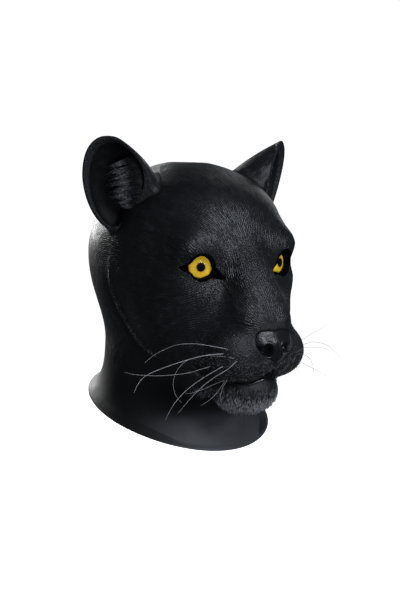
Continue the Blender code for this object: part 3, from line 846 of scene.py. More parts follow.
def ear_rings(drop):
    """The outside from its foot on the skull up to the rim, and the bowl down inside."""
    cone = np.array([ear_ring(share, 0.0, drop) for share in np.linspace(0.0, 1.0, CONE_STEPS + 1)])
    gaps = head_form(cone)
    clear = evened(np.clip(last_below(gaps, EAR_FOOT), 0, 0.8 * CONE_STEPS), 6)
    meet = evened(last_below(gaps, 0.0), 6)
    columns = np.arange(EAR_COLUMNS)

    def on_cone(at):
        low = np.clip(np.floor(at).astype(int), 0, CONE_STEPS - 1)
        part = (at - low)[:, None]
        return cone[low, columns] * (1 - part) + cone[low + 1, columns] * part

    # The foot spreads on the skull, and a curve leads from it round the corner to the cone.
    corner = on_cone(meet)
    high = on_cone(clear)
    outward = corner - corner.mean(axis=0)
    outward /= np.linalg.norm(outward, axis=1)[:, None]
    foot = corner + outward * EAR_FOOT * 1.1
    for _ in range(6):
        gap, slope = steepness(foot)
        steep = np.maximum((slope * slope).sum(-1), 1e-6)
        foot = foot - slope * (gap + EAR_SUNK_FOOT)[:, None] / steep[:, None]
    gap, slope = steepness(corner)
    corner = corner - slope * gap[:, None]
    rings = []
    for t in np.linspace(0, 1, FOOT_RINGS)[:-1]:
        rings.append(foot * (1 - t) ** 2 + corner * 2 * t * (1 - t) + high * t**2)
    for t in np.linspace(0, 1, CONE_RINGS)[:-1]:
        rings.append(on_cone(clear + (CONE_STEPS - clear) * t))
    # The rim rolls over to the inside.
    for turn in np.linspace(0, math.pi, RIM_RINGS):
        inset = EAR_RIM_WALL * (1 - math.cos(turn))
        rings.append(ear_ring(1.0 + 0.020 * math.sin(turn), inset, drop))
    # The bowl's wall thickens towards its bottom.
    for t in np.linspace(0, 1, BOWL_RINGS)[1:]:
        rings.append(ear_ring(1.0 - EAR_BOWL_DEPTH * t**0.9, EAR_BOWL_WALL + 0.018 * t**2.2, drop))
    return np.array(rings)


# Inside the bowl the ear gets a dull copy of its latex, as painted shade in the hollow of the cup.
shaded_bowl_latex = furred_latex("shaded_ear_bowl_latex", shine=0.12)
for label, side in (("left", 1), ("right", -1)):
    rings = ear_rings(EAR_LEFT_DROP * (side > 0)) * (side, 1, 1)
    ear = closed_loft("ear_" + label, rings)
    lengthwise, _, normal = slopes(rings)
    lengthwise /= np.maximum(np.linalg.norm(lengthwise, axis=-1, keepdims=True), 1e-9)
    rim_at = FOOT_RINGS + CONE_RINGS - 1
    bowl_at = rim_at + RIM_RINGS
    hairy = np.zeros(rings.shape[:2])
    hairy[:rim_at] = 0.7
    hairy[rim_at:bowl_at] = 0.25
    hairy[bowl_at:] = 0.35
    written(ear, "fur", hairy.ravel())
    # The rim is painted lighter, in its colour and its strokes, as painted highlight along the rolled
    # edge.
    rim_painted_highlight = np.zeros(rings.shape[:2])
    rim_painted_highlight[rim_at - 2 : bowl_at + 1] = 1.0
    flecks = np.random.default_rng(3).normal(size=hairy.size) * 0.5
    written(ear, "stroke", flecks + 1.5 * rim_painted_highlight.ravel())
    written(ear, "across_fur", across_fur(lengthwise, normal).reshape(-1, 3), "FLOAT_VECTOR")
    written(ear, "lighter_hair_and_highlight", 0.8 * rim_painted_highlight.ravel())
    ear.data.materials.append(fur_latex)
    ear.data.materials.append(shaded_bowl_latex)
    for face in ear.data.polygons:
        in_bowl = bowl_at * EAR_COLUMNS <= face.index < (len(rings) - 1) * EAR_COLUMNS
        face.material_index = int(in_bowl)
    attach(ear, "root")

# Nose. A bare, shiny pad of the same latex at the end of the bridge, with two
# nostrils sunk in it and a fine line down its middle to the upper lip.
NOSE_COLUMNS = 144
NOSE_RINGS = 50
NOSE_EDGE_RINGS = 14
NOSTRIL_RIM = 0.0006
NOSE_LINE = 0.0008
NOSTRILS = [
    Mass("nostril", 0.106, 1.575, -0.790, 0.048, 0.110, 0.060, 0, 30, 0.030, False),
    Mass("nostril_tail", 0.170, 1.530, -0.770, 0.080, 0.050, 0.020, 0, 38, 0.025, False),
    Mass("wing_hollow", 0.290, 1.640, -0.700, 0.100, 0.120, 0.120, 0, 40, 0.080, False),
]


def wet_latex(name, roughness, coat, dark=1.0, shine=0.5):
    """Bare black latex, smooth and shiny, as on the nose, the lids and the lips."""
    made, nodes, links, shader = wired(name)
    place = nodes.new("ShaderNodeTexCoord").outputs["Object"]
    grain = nodes.new("ShaderNodeTexVoronoi")
    grain.inputs["Scale"].default_value = 850.0
    links.new(place, grain.inputs["Vector"])
    waves = speckles(nodes, links, place, 220.0)
    height = maths(nodes, links, "MULTIPLY_ADD", waves, 0.8, grain.outputs["Distance"])
    raised(nodes, links, shader, height, 0.6, 0.0002)
    darker = (0.0026 * dark, 0.0026 * dark, 0.0030 * dark)
    lighter = (0.0060 * dark, 0.0060 * dark, 0.0070 * dark)
    links.new(two_colours(nodes, links, waves, darker, lighter), shader.inputs["Base Color"])
    shader.inputs["Roughness"].default_value = roughness
    shader.inputs["Coat Weight"].default_value = coat
    shader.inputs["Coat Roughness"].default_value = 0.14
    shader.inputs["Specular IOR Level"].default_value = shine
    return made


def nose_form(points):
    """The head, with the nostrils sunk in and a low rim raised round each."""
    gap = head_form(points)
    rim = 0.0
    for side in (1, -1):
        pit = ellipsoid(points, NOSTRILS[0], side)
        ring = np.exp(-(((pit - 0.0018) / 0.0016) ** 2))
        rim = rim + ring * ease(points[..., 2], -0.086, -0.076)
        for mass in NOSTRILS:
            pit = ellipsoid(points, mass, side)
            gap = -blend(-gap, pit, mass.fillet * CROWN_RISE)
    middle = np.exp(-((points[..., 0] / 0.0009) ** 2)) * ease(points[..., 2], -0.070, -0.078)
    return gap - NOSTRIL_RIM * rim + NOSE_LINE * middle


angles = 2 * np.pi * np.arange(NOSE_COLUMNS) / NOSE_COLUMNS - np.pi
# The last rings go out beyond the nose's edge, and sink into the skin there.
shares = np.concatenate(
    [np.linspace(0.02, 0.90, NOSE_RINGS), np.linspace(0.905, 1.07, NOSE_EDGE_RINGS)]
)
flat = shares[:, None] * evened(nose_reach(angles), 4)
plate_points = np.stack([flat * np.sin(angles), 0 * flat, flat * np.cos(angles)], axis=-1)
ways = NOSE_MIDDLE + plate_points - NOSE_ROOT
ways /= np.linalg.norm(ways, axis=-1, keepdims=True)
origins = np.tile(NOSE_ROOT, ways.shape[:2] + (1,)).reshape(-1, 3)
nose_grid = surface_point(origins, ways.reshape(-1, 3), nose_form, far=0.07, hops=41)
proud = 0.0003 * ease(shares, 1.0, 0.80) - 0.0030 * ease(shares, 0.93, 1.07)
nose_grid = nose_grid.reshape(ways.shape) + ways * proud[:, None, None]
nose = closed_loft("nose_pad", nose_grid)
nose.data.materials.append(wet_latex("bare_nose_latex", roughness=0.32, coat=0.04))
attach(nose, "root")

# Eyes. Each is a clear acrylic dome over a painted disc with a yellow iris and a
# black pupil, pushed into the skin from inside and held by the lids in front.
IRIS_RADIUS = 0.0121
IRIS_EDGE = 0.0124
IRIS_SWELL = 0.0040
IRIS_THICKNESS = 0.0006
IRIS_COLUMNS = 96
IRIS_RINGS = 26
# The iris's colours, from the middle of the pupil at 0 to the disc's edge at 1.
IRIS_COLOURS = [
    (0.000, (0.0006, 0.0006, 0.0006)),
    (0.345, (0.0010, 0.0008, 0.0006)),
    (0.375, (0.420, 0.220, 0.015)),
    (0.450, (0.880, 0.560, 0.040)),
    (0.700, (0.980, 0.690, 0.045)),
    (0.860, (0.950, 0.600, 0.035)),
    (0.945, (0.560, 0.250, 0.010)),
    (0.985, (0.030, 0.010, 0.001)),
    (1.000, (0.0015, 0.0012, 0.0010)),
]
FIBRE_TONES = [(0.35, (0.72, 0.60, 0.45)), (0.60, (1.0, 1.0, 1.0))]


def eye_frame(side):
    """Turns local +Z to the way the eye looks, from the middle of the eyeball."""
    x, y, z = to_world(EYE_MIDDLE * (side, 1, 1))
    turn = Matrix.Rotation(math.radians(EYE_YAW * side), 4, "Z")
    return Matrix.Translation((x, y, z)) @ turn @ Matrix.Rotation(math.pi / 2, 4, "X")


def banded(nodes, links, share, stops):
    """Colours in bands, each blending into the next."""
    node = nodes.new("ShaderNodeValToRGB")
    band = node.color_ramp
    while len(band.elements) < len(stops):
        band.elements.new(0.5)
    for stop, (at, colour) in zip(band.elements, stops):
        stop.position = at
        stop.color = (*colour, 1.0)
    links.new(share, node.inputs["Fac"])
    return node.outputs["Color"]


def painted_acrylic(name):
    """Golden iris with fine fibres, a dark rim and a black pupil, glowing a little as painted light.
    """
    made, nodes, links, shader = wired(name)
    spread = kept_value(nodes, "from_pupil")
    lines = nodes.new("ShaderNodeCombineXYZ")
    links.new(kept_value(nodes, "round_pupil"), lines.inputs["X"])
    links.new(maths(nodes, links, "MULTIPLY", spread, 0.12), lines.inputs["Y"])
    fibres = speckles(nodes, links, lines.outputs["Vector"], 9.0, 5.0)
    wavy = maths(nodes, links, "MULTIPLY_ADD", fibres, 0.05, spread)
    paint = banded(nodes, links, maths(nodes, links, "SUBTRACT", wavy, 0.025), IRIS_COLOURS)
    mixed = nodes.new("ShaderNodeMix")
    mixed.data_type = "RGBA"
    mixed.blend_type = "MULTIPLY"
    mixed.inputs["Factor"].default_value = 0.75
    links.new(paint, mixed.inputs["A"])
    links.new(banded(nodes, links, fibres, FIBRE_TONES), mixed.inputs["B"])
    links.new(mixed.outputs["Result"], shader.inputs["Base Color"])
    # The paint also glows a little, as painted light that brightens the iris.
    links.new(mixed.outputs["Result"], shader.inputs["Emission Color"])
    shader.inputs["Emission Strength"].default_value = 0.12
    shader.inputs["Roughness"].default_value = 0.50
    shader.inputs["Specular IOR Level"].default_value = 0.1
    return made


def clear_acrylic(name):
    """Clear gloss over the iris, and black where the dome goes back under the lids."""
    made, nodes, links, shader = wired(name)
    cover = stretched(nodes, links, kept_value(nodes, "from_pupil"), 1.00, 1.03, 0.20, 1.0)
    links.new(cover, shader.inputs["Alpha"])
    shader.inputs["Base Color"].default_value = (0.0010, 0.0010, 0.0010, 1.0)
    shader.inputs["Roughness"].default_value = 0.08
    shader.inputs["Coat Weight"].default_value = 1.0
    shader.inputs["Coat Roughness"].default_value = 0.03
    return made


iris_paint = painted_acrylic("painted_amber_iris")
dome_gloss = clear_acrylic("clear_acrylic")
# The painted disc inside the dome is a little flatter than the dome itself. Its last two
# rings are its edge and its back.
disc_shares = np.concatenate([np.linspace(0.03, 1.0, IRIS_RINGS), (1.0, 0.5)])
disc_out = IRIS_EDGE + IRIS_SWELL * (1 - disc_shares**2)
disc_out[IRIS_RINGS:] = IRIS_EDGE - IRIS_THICKNESS
disc_turns = 2 * np.pi * np.arange(IRIS_COLUMNS) / IRIS_COLUMNS
disc_radii = disc_shares[:, None] * IRIS_RADIUS
disc = (
    EYE_MIDDLE
    + (disc_radii * np.cos(disc_turns))[..., None] * EYE_AXES[:, 0]
    + (disc_radii * np.sin(disc_turns))[..., None] * EYE_AXES[:, 2]
    + disc_out[:, None, None] * EYE_AXES[:, 1]
)
for label, side in (("left", 1), ("right", -1)):
    bpy.ops.mesh.primitive_uv_sphere_add(segments=64, ring_count=48, radius=LENS_RADIUS)
    lens = bpy.context.object
    lens.name = "eye_dome_" + label
    bpy.ops.object.mode_set(mode="EDIT")
    bpy.ops.mesh.select_all(action="SELECT")
    back = (0, 0, LENS_RADIUS - LENS_DEPTH)
    bpy.ops.mesh.bisect(plane_co=back, plane_no=(0, 0, -1), clear_outer=True, use_fill=True)
    bpy.ops.object.mode_set(mode="OBJECT")
    spread = [math.hypot(v.co.x, v.co.y) / IRIS_RADIUS for v in lens.data.vertices]
    around = [math.atan2(v.co.y, v.co.x) for v in lens.data.vertices]
    written(lens, "from_pupil", spread)
    written(lens, "round_pupil", np.abs(around))
    lens.data.transform(eye_frame(side))
    for face in lens.data.polygons:
        face.use_smooth = len(face.vertices) < 5
    lens.data.materials.append(dome_gloss)
    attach(lens, "root")
    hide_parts("eye_" + label)
    lens.select_set(False)
    iris = closed_loft("iris_" + label, disc * (side, 1, 1))
    written(iris, "from_pupil", np.repeat(disc_shares, IRIS_COLUMNS))
    written(iris, "round_pupil", np.tile(np.abs(np.pi - disc_turns), len(disc_shares)))
    iris.data.materials.append(iris_paint)
    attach(iris, "root")

# Eyelids. The skin thickens round each opening into a bare black lip that runs
# into a slanting tear duct at the nose side and a short corner at the cheek side.
LID_COLUMNS = 120
# Each ring of the lid: how far outside the opening it runs, how high, and above what.
LidRing = namedtuple("LidRing", "wider height above")
LID_PROFILE = [
    LidRing(-0.0022, -0.0030, "dome"),
    LidRing(-0.0012, 0.0001, "dome"),
    LidRing(-0.0006, 0.0001, "face"),
    LidRing(0.0000, 0.0005, "face"),
    LidRing(0.0006, 0.0005, "face"),
    LidRing(0.0013, 0.0003, "face"),
    LidRing(0.0020, 0.0000, "face"),
    LidRing(0.0028, -0.0006, "face"),
]


def lid_rings():
    """From inside the lip at the dome, over its crest, and down onto the face."""
    angles = np.linspace(0, 360, LID_COLUMNS, endpoint=False)
    reach = evened(opening_reach(angles), 4)
    circle = np.stack([-np.cos(np.radians(angles)), np.sin(np.radians(angles))], axis=-1)
    look = EYE_AXES[:, 1]
    rings = []
    for wider, height, above in LID_PROFILE:
        flat = circle * (reach + wider)[:, None]
        seat = EYE_MIDDLE + EYE_AXES[:, 0] * flat[:, :1] + EYE_AXES[:, 2] * flat[:, 1:]
        if above == "face":
            top = surface_point(seat - look * 0.004, np.tile(look, (len(seat), 1)), far=0.04)
            rings.append(top + look * height)
        else:
            radius = np.linalg.norm(flat, axis=1)
            lens_back = LENS_RADIUS - LENS_DEPTH
            dome = np.sqrt(np.maximum(LENS_RADIUS**2 - radius**2, lens_back**2))
            rings.append(seat + look * (dome + height)[:, None])
    return np.array(rings)


# The lids get a darker, dull copy of the wet latex, as painted shade round each eye.
shaded_lid_latex = wet_latex("shaded_bare_lid_latex", roughness=0.75, coat=0.0, dark=0.15, shine=0.06)
lid_shape = lid_rings()
for label, side in (("left", 1), ("right", -1)):
    lid = closed_loft("eyelid_" + label, lid_shape * (side, 1, 1), close_ends=False)
    lid.data.materials.append(shaded_lid_latex)
    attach(lid, "root")

# Lower lip. A bare, wet-looking roll of latex just inside the mouth line, which
# catches the light below the upper lip.
LIP_SUNK = 0.0022
LIP_RINGS = 72
LIP_SIDES = 14
# Its points round the mouth: the angle from straight ahead, then height and thickness in
# shares.
LipPoint = namedtuple("LipPoint", "angle up thick")
LOWER_LIP = [
    LipPoint(-74, -1.075, 0.006),
    LipPoint(-62, -1.110, 0.010),
    LipPoint(-48, -1.140, 0.014),
    LipPoint(-34, -1.152, 0.018),
    LipPoint(-22, -1.148, 0.021),
    LipPoint(-10, -1.122, 0.023),
    LipPoint(0, -1.105, 0.023),
    LipPoint(10, -1.122, 0.023),
    LipPoint(22, -1.148, 0.021),
    LipPoint(34, -1.152, 0.018),
    LipPoint(48, -1.140, 0.014),
    LipPoint(62, -1.110, 0.010),
    LipPoint(74, -1.075, 0.006),
]


def tube(path, radii, sides):
    """Rings of points round a path, for a round strand."""
    path = np.asarray(path, float)
    ways = np.gradient(path, axis=0)
    ways /= np.linalg.norm(ways, axis=1)[:, None]
    side = np.cross(ways[0], (0.3, 0.2, 0.9))
    rings = []
    turns = 2 * np.pi * np.arange(sides) / sides
    for point, way, radius in zip(path, ways, radii):
        side = side - way * side.dot(way)
        side /= np.linalg.norm(side)
        over = np.cross(way, side)
        rings.append(point + radius * (np.outer(np.cos(turns), side) + np.outer(np.sin(turns), over)))
    return np.array(rings)


def smoothed(points, count):
    """More points on a smooth curve through the given ones."""
    points = np.asarray(points, float)
    ends = np.vstack([2 * points[0] - points[1], points, 2 * points[-1] - points[-2]])
    out = []
    for at in np.linspace(0, len(points) - 1, count):
        i = min(int(at), len(points) - 2)
        out.append(curve_point(ends[i : i + 4], at - i))
    return np.array(out)


lip_table = smoothed(LOWER_LIP, LIP_RINGS)
lip_angles = np.radians(lip_table[:, 0])
still = 0 * lip_angles
lip_starts = np.stack([still, still + EYE_REACH, lip_table[:, 1] * CROWN_RISE], axis=-1)
lip_ways = np.stack([np.sin(lip_angles), np.cos(lip_angles), still], axis=-1)
lip_path = surface_point(lip_starts, lip_ways) - lip_ways * LIP_SUNK
lower_lip = closed_loft("lower_lip", tube(lip_path, lip_table[:, 2] * EYE_SPACING, LIP_SIDES))
lower_lip.data.materials.append(wet_latex("bare_lip_latex", roughness=0.22, coat=0.5))
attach(lower_lip, "root")

# Whiskers. Stiff tapering nylon, pushed through the whisker pads and glued
# inside. Each is laid along the curve that the photograph shows for it.
CAMERA_PLACE = Vector((-0.8356, -1.1810, 0.0102))
CAMERA_WAY = Vector((0.58457, 0.80459, -0.10453))
CAMERA_LENS = 82.86
SENSOR_WIDTH = 36.0
PICTURE = (400, 600)
WHISKER_RADIUS = 0.00036
WHISKER_THINNING = 0.00024
WHISKER_POINTS = 40
WHISKER_SIDES = 8
# How fast a whisker falls back behind the pad as it runs out sideways.
NEAR_FALL = 0.23
FAR_FALL = -1.0
# The pads lie between these distances from the camera.
PADS_NEAREST = 1.20
PADS_FURTHEST = 1.60
# Each whisker as the picture shows it, from its root to its tip, in pixels from the top left.
Whisker = namedtuple("Whisker", "thick fall curve")
WHISKERS = [
    Whisker(0.9, NEAR_FALL, [
        (226, 349), (216, 347), (200, 344.3), (188, 343.7), (176, 345), (166, 349), (155, 354.5),
        (144.5, 363.2),
    ]),
    Whisker(1.3, NEAR_FALL, [
        (221.5, 354), (210, 354.8), (198, 357), (184, 361), (170, 365.5), (158, 370), (148, 374.5),
        (142, 379), (137, 386), (134, 393),
    ]),
    Whisker(0.8, NEAR_FALL, [(231.5, 358), (222, 356.4), (210, 356)]),
    Whisker(1.0, NEAR_FALL, [
        (210, 366.5), (200, 369.5), (188, 373), (174, 374.8), (158, 375.8), (142, 375.2),
        (133, 374.3), (125, 372.5),
    ]),
    Whisker(0.7, NEAR_FALL, [
        (188, 360), (183.5, 363), (178, 369), (174.5, 376), (173.2, 384), (174.5, 392), (178, 399),
        (181.8, 403),
    ]),
    Whisker(1.0, NEAR_FALL, [
        (222, 367), (212, 372.5), (200, 380), (188, 389), (178, 399), (171, 409), (165.2, 420.5),
    ]),
    Whisker(1.0, NEAR_FALL, [
        (235, 362.5), (228, 369), (215, 377), (203, 386), (192, 397), (184, 406), (177.5, 414),
    ]),
    Whisker(0.8, NEAR_FALL, [
        (224, 380.5), (216, 383.5), (206, 388), (197, 391.5), (190, 393.5), (185, 393.7),
    ]),
    Whisker(0.9, NEAR_FALL, [(224, 382), (219, 390), (213, 397), (206, 402.5), (200.5, 405.7)]),
    Whisker(0.8, NEAR_FALL, [(226.5, 381), (222.5, 388), (220.5, 396), (221.5, 401.5)]),
    Whisker(0.7, FAR_FALL, [(299.0, 341), (303.2, 338.8), (312, 333.6), (320, 329), (328.8, 324)]),
    Whisker(0.8, FAR_FALL, [
        (299.5, 345.6), (303.6, 344.4), (312, 342), (320, 342.8), (328, 345.6), (336, 352.8),
        (340, 358.8), (341.6, 365.6),
    ]),
    Whisker(0.7, FAR_FALL, [
        (299.5, 347.2), (303.2, 347.4), (312, 347.8), (320.8, 347.4), (328, 350), (330.8, 352),
    ]),
    Whisker(0.8, FAR_FALL, [
        (299.0, 353), (302.4, 354), (306.4, 356), (310.4, 359.6), (312.4, 364.4), (313.6, 370),
        (313.2, 376), (311.2, 382), (308, 387.4),
    ]),
    Whisker(0.8, FAR_FALL, [
        (297.5, 360.4), (302, 362.8), (312, 368), (320, 372), (328, 377.2), (334.4, 382),
        (337, 387.6),
    ]),
    Whisker(0.7, FAR_FALL, [
        (295.5, 366), (298, 370.4), (301.2, 376.4), (303.2, 382.8), (304.2, 390), (304.5, 397.6),
    ]),
    Whisker(0.5, FAR_FALL, [(299.0, 355.6), (303.2, 357.2), (309.6, 361.2)]),
    Whisker(0.5, FAR_FALL, [(297.5, 361.8), (301.6, 364.4), (307.2, 372.4)]),
]

look_turn = CAMERA_WAY.to_track_quat("-Z", "Y").to_matrix()
camera_right = np.array(look_turn.col[0])
camera_up = np.array(look_turn.col[1])
camera_way = np.array(CAMERA_WAY.normalized())
focal = CAMERA_LENS / SENSOR_WIDTH * max(PICTURE)


def to_head(point):
    """A place in the part's X, Y and Z, as across, forward and up from between the eyes."""
    return np.array([point[0], -point[1], point[2] + CROWN_INSIDE])


def sight(pixel):
    """The line from the camera through a point of the picture, one metre deep."""
    right = (pixel[0] - PICTURE[0] / 2) / focal
    up = (PICTURE[1] / 2 - pixel[1]) / focal
    return camera_way + camera_right * right + camera_up * up


def whisker_path(curve, fall):
    """A whisker's points: its root on the skin, and the rest falling back from there."""
    lens = np.array(CAMERA_PLACE)
    first = sight(curve[0])
    depths = np.linspace(PADS_NEAREST, PADS_FURTHEST, 801)
    line = np.array([to_head(lens + first * shaded_recess) for shaded_recess in depths])
    gaps = head_form(line)
    inside = np.nonzero(gaps < 0.0002)[0]
    at = inside[0] if len(inside) else int(np.argmin(gaps))
    if fall < 0 and len(inside):
        # A whisker of the far side leaves the pad where the picture doesn't show it.
        apart = np.nonzero(np.diff(inside) > 1)[0]
        at = inside[apart[0]] if len(apart) else inside[-1]
    root_depth = depths[at]
    out = []
    for pixel in curve:
        way = sight(pixel)
        sideways = (pixel[0] - curve[0][0]) / focal * root_depth
        out.append(to_head(lens + way * (root_depth - fall * sideways)))
    start = out[0] + (out[0] - out[1]) / np.linalg.norm(out[0] - out[1]) * 0.002
    return np.vstack([start, out])


def pale_nylon(name):
    """Grey-white nylon, in slightly uneven shades."""
    made, nodes, links, shader = wired(name)
    place = nodes.new("ShaderNodeTexCoord").outputs["Object"]
    streak = speckles(nodes, links, place, 120.0)
    shade = two_colours(nodes, links, streak, (0.20, 0.20, 0.21), (0.46, 0.46, 0.47))
    links.new(shade, shader.inputs["Base Color"])
    shader.inputs["Roughness"].default_value = 0.38
    return made


nylon = pale_nylon("pale_whisker_nylon")
thinning = WHISKER_THINNING * np.linspace(0, 1, WHISKER_POINTS) ** 1.3
for number, whisker in enumerate(WHISKERS):
    path = smoothed(whisker_path(whisker.curve, whisker.fall), WHISKER_POINTS)
    radii = whisker.thick * (WHISKER_RADIUS - thinning)
    strand = closed_loft(f"whisker_{number + 1}", tube(path, radii, WHISKER_SIDES))
    strand.data.materials.append(nylon)
    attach(strand, "root")

# Loose hair. Short bristles are set in the chin and the whisker pads, and pale
# locks are glued inside each ear, fanning out from the side next to the skull.
HAIR_RINGS = (0.0, 0.35, 0.70)
HAIR_TAPER = 0.55


def hair_bunch(name, roots, ways, bends, lengths, widths):
    """Many fine tapering hairs as one mesh, three-sided, each bent along its length."""
    count = len(roots)
    shares = np.array(HAIR_RINGS)
    side = np.cross(ways, (0.31, 0.23, 0.92))
    side /= np.maximum(np.linalg.norm(side, axis=1, keepdims=True), 1e-9)
    over = np.cross(ways, side)
    turns = 2 * np.pi * np.arange(3) / 3
    points = []
    for share in shares:
        middle = roots + (ways * share + bends * share**2) * lengths[:, None]
        wide = widths * (1 - HAIR_TAPER * share)
        for turn in turns:
            points.append(middle + (side * math.cos(turn) + over * math.sin(turn)) * wide[:, None])
    points.append(roots + (ways + bends) * lengths[:, None])
    cloud = np.stack(points, axis=1)
    faces = []
    for start in range(0, count * 10, 10):
        for low in (start, start + 3):
            high = low + 3
            for k in range(3):
                j = (k + 1) % 3
                faces.append((low + k, low + j, high + j, high + k))
        for k in range(3):
            faces.append((start + 6 + k, start + 6 + (k + 1) % 3, start + 9))
        faces.append((start + 2, start + 1, start))
    made = smooth_piece(name, list(map(tuple, to_world(cloud.reshape(-1, 3)))), faces)
    written(made, "along_hair", np.tile(np.append(np.repeat(shares, 3), 1.0), count))
    return made


def hair_dye(name, root, tip, roughness, dark_to=0.1):
    """Hair that pales from its root to its tip, by patches in the part's own space."""
    made, nodes, links, shader = wired(name)
    place = nodes.new("ShaderNodeTexCoord").outputs["Object"]
    patch = stretched(nodes, links, speckles(nodes, links, place, 420.0), 0.30, 0.60)
    along_hair = kept_value(nodes, "along_hair")
    paling = stretched(nodes, links, along_hair, dark_to, dark_to + 0.3)
    paled = maths(nodes, links, "MULTIPLY", patch, paling)
    links.new(two_colours(nodes, links, paled, root, tip), shader.inputs["Base Color"])
    shader.inputs["Roughness"].default_value = roughness
    return made


Bristles = namedtuple("Bristles", "name where count seed lean length width dye")


def set_hairs(bristles):
    """Bristles set at random over a part of the skin, lying along the fur."""
    dice = np.random.default_rng(bristles.seed)
    count = bristles.count
    up, along, normal = slopes(outer)
    area = np.linalg.norm(np.cross(up, along), axis=-1)
    chance = (bristles.where * area).ravel()
    picked = dice.choice(chance.size, size=count, p=chance / chance.sum())
    roots = shell.reshape(-1, 3)[picked] + dice.normal(size=(count, 3)) * 0.0004
    out = normal.reshape(-1, 3)[picked]
    ways = hair_way(outer, normal).reshape(-1, 3)[picked]
    ways = ways + out * bristles.lean + dice.normal(size=(count, 3)) * 0.16
    ways /= np.linalg.norm(ways, axis=1, keepdims=True)
    bends = np.tile((0.0, 0.0, -0.12), (count, 1)) - out * 0.18
    lengths = bristles.length * dice.uniform(0.6, 1.15, count)
    widths = np.full(count, bristles.width)
    made = hair_bunch(bristles.name, roots - out * 0.0004, ways, bends, lengths, widths)
    made.data.materials.append(bristles.dye)
    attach(made, "root")


dark_dye = hair_dye("black_bristle", (0.006, 0.006, 0.007), (0.150, 0.152, 0.160), 0.42)
grey_dye = hair_dye("grey_bristle", (0.030, 0.030, 0.033), (0.280, 0.283, 0.296), 0.45)
white_dye = hair_dye("pale_bristle", (0.040, 0.040, 0.043), (0.430, 0.435, 0.450), 0.45)
on_chin = ease(z, -0.115, -0.120) * ease(f, 0.080, 0.100) * ease(z, -0.150, -0.142)
chin_edge = ease(z, -0.124, -0.134) * ease(f, 0.092, 0.106) * ease(z, -0.147, -0.141)
on_pads = ease(z, -0.076, -0.084) * ease(z, -0.113, -0.108) * ease(f, 0.095, 0.115)
on_pads *= ease(plate, 1.05, 1.2)
set_hairs(Bristles("chin_bristles", on_chin, 2400, 21, 0.40, 0.0058, 0.00022, dark_dye))
set_hairs(Bristles("chin_fringe", chin_edge, 1400, 22, 0.80, 0.0060, 0.00022, white_dye))
set_hairs(Bristles("pad_bristles", on_pads, 3600, 23, 0.45, 0.0019, 0.00016, grey_dye))

# The locks in each ear: where each springs from the wall of the bowl, by the angle from
# the ear's outer side over the top, and where it ends, outwards and up from the middle of
# the rim, in shares of the ear's width and height.
Lock = namedtuple("Lock", "angle out up")
LOCKS = [
    Lock(139, 0.10, 0.215),
    Lock(150, 0.16, 0.150),
    Lock(159, 0.12, 0.085),
    Lock(171, 0.20, 0.035),
    Lock(180, 0.13, -0.045),
    Lock(192, 0.17, -0.095),
    Lock(204, 0.09, -0.165),
    Lock(218, 0.04, -0.225),
]
HAIRS_IN_LOCK = 34
LOCK_HAIR_WIDTH = 0.00036
LOCK_TIP_BEHIND_RIM = 0.004
ROOT_SCATTER = 0.0006
lock_dice = np.random.default_rng(31)
bowl_wall = ear_ring(0.80, 0.0036, 0.0)
lock_roots = []
lock_ways = []
lock_lengths = []
for lock in LOCKS:
    tip = EAR_RIM_MIDDLE + EAR_OUT * (lock.out * EAR_WIDTH) + EAR_TALL * (lock.up * EAR_HEIGHT)
    for _ in range(HAIRS_IN_LOCK):
        angle = lock.angle + lock_dice.normal() * 5.5
        start = bowl_wall[int(angle / 360 * EAR_COLUMNS)]
        start = start + lock_dice.normal(size=3) * ROOT_SCATTER
        end = tip - EAR_AHEAD * LOCK_TIP_BEHIND_RIM + lock_dice.normal(size=3) * ROOT_SCATTER
        lock_roots.append(start)
        lock_ways.append(end - start)
        lock_lengths.append(lock_dice.uniform(0.70, 1.12))
lock_roots = np.array(lock_roots)
lock_ways = np.array(lock_ways)
lock_lengths = np.array(lock_lengths) * np.linalg.norm(lock_ways, axis=1)
lock_ways /= np.linalg.norm(lock_ways, axis=1, keepdims=True)
lock_bends = -EAR_TALL * 0.14 + lock_dice.normal(size=lock_ways.shape) * 0.04
tuft_dye = hair_dye("pale_ear_hair", (0.008, 0.008, 0.009), (0.300, 0.304, 0.315), 0.5, 0.46)
for label, side in (("left", 1), ("right", -1)):
    tufts = hair_bunch(
        "ear_locks_" + label,
        (lock_roots - (0, 0, 0.8 * EAR_LEFT_DROP * (side > 0))) * (side, 1, 1),
        lock_ways * (side, 1, 1),
        lock_bends * (side, 1, 1),
        lock_lengths,
        np.full(len(lock_roots), LOCK_HAIR_WIDTH),
    )
    tufts.data.materials.append(tuft_dye)
    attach(tufts, "root")

# Floor, light and camera. The mask hangs in front of white paper that glows evenly,
# between soft lights before the face and behind the head, with the camera on its right.
FLOOR_PLACE = (0, 0, -0.50)
SWEEP_RADIUS = 12.0
paper, _, _, paper_shader = wired("studio_paper")
paper_shader.inputs["Base Color"].default_value = (0.90, 0.90, 0.90, 1.0)
paper_shader.inputs["Roughness"].default_value = 0.9
paper_shader.inputs["Emission Color"].default_value = (1.0, 1.0, 1.0, 1.0)
paper_shader.inputs["Emission Strength"].default_value = 1.0
bpy.ops.mesh.primitive_circle_add(
    vertices=96, radius=SWEEP_RADIUS, fill_type="NGON", location=FLOOR_PLACE
)
floor = bpy.context.object
floor.name = "floor"
floor.data.materials.append(paper)
bpy.ops.mesh.primitive_uv_sphere_add(
    segments=64, ring_count=32, radius=SWEEP_RADIUS, location=FLOOR_PLACE
)
sweep = bpy.context.object
sweep.name = "backdrop"
sweep.data.materials.append(paper)
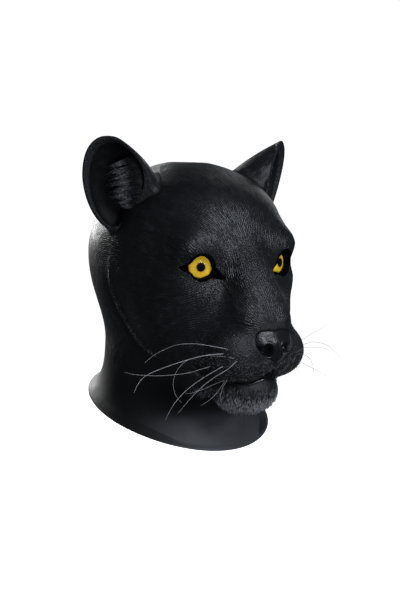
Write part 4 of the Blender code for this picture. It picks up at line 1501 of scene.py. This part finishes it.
for thing in (floor, sweep):
    thing.visible_glossy = False
    thing.visible_diffuse = False
    thing.visible_shadow = False
    thing.select_set(False)

world = bpy.data.worlds.new("studio")
world.use_nodes = True
sky = world.node_tree.nodes["Background"]
sky.inputs["Color"].default_value = (0.80, 0.86, 1.0, 1.0)
sky.inputs["Strength"].default_value = 0.070
bpy.context.scene.world = world


def softbox(name, place, aim, size, power, colour):
    """A flat studio light of this size."""
    light = bpy.data.lights.new(name, "AREA")
    light.shape = "RECTANGLE"
    light.size, light.size_y = size
    light.energy = power
    light.color = colour
    lamp = bpy.data.objects.new(name, light)
    lamp.location = place
    lamp.rotation_euler = (Vector(aim) - Vector(place)).to_track_quat("-Z", "Y").to_euler()
    bpy.context.scene.collection.objects.link(lamp)
    return lamp


COOL_WHITE = (0.84, 0.90, 1.0)
PALE_WHITE = (0.90, 0.93, 1.0)
CLEAR_WHITE = (0.95, 0.97, 1.0)
PLAIN_WHITE = (1.0, 1.0, 1.0)
# Each light's place, where it points, its size, power and colour.
softbox("key", (-0.12, -1.20, 0.66), (0, -0.05, -0.10), (0.42, 0.42), 8.0, COOL_WHITE)
softbox("front", (0.46, -1.30, 0.34), (0, -0.05, -0.15), (0.26, 0.34), 4.6, COOL_WHITE)
low_aim = (0, -0.10, -0.20)
low = softbox("low_front", (-0.25, -1.30, -0.38), low_aim, (0.50, 0.30), 10.0, PALE_WHITE)
low.visible_glossy = False
softbox("back_left", (0.10, 1.45, 0.40), (-0.05, 0.05, -0.12), (0.5, 0.9), 18.0, PLAIN_WHITE)
softbox("back_right", (1.25, 0.75, 0.50), (0.05, -0.05, -0.10), (0.5, 0.9), 1.5, CLEAR_WHITE)

camera = bpy.data.cameras.new("camera")
camera.lens = CAMERA_LENS
camera.sensor_width = SENSOR_WIDTH
camera_at = bpy.data.objects.new("camera", camera)
camera_at.location = CAMERA_PLACE
camera_at.rotation_euler = CAMERA_WAY.to_track_quat("-Z", "Y").to_euler()
bpy.context.scene.collection.objects.link(camera_at)
bpy.context.scene.camera = camera_at
bpy.context.scene.view_settings.view_transform = "Standard"
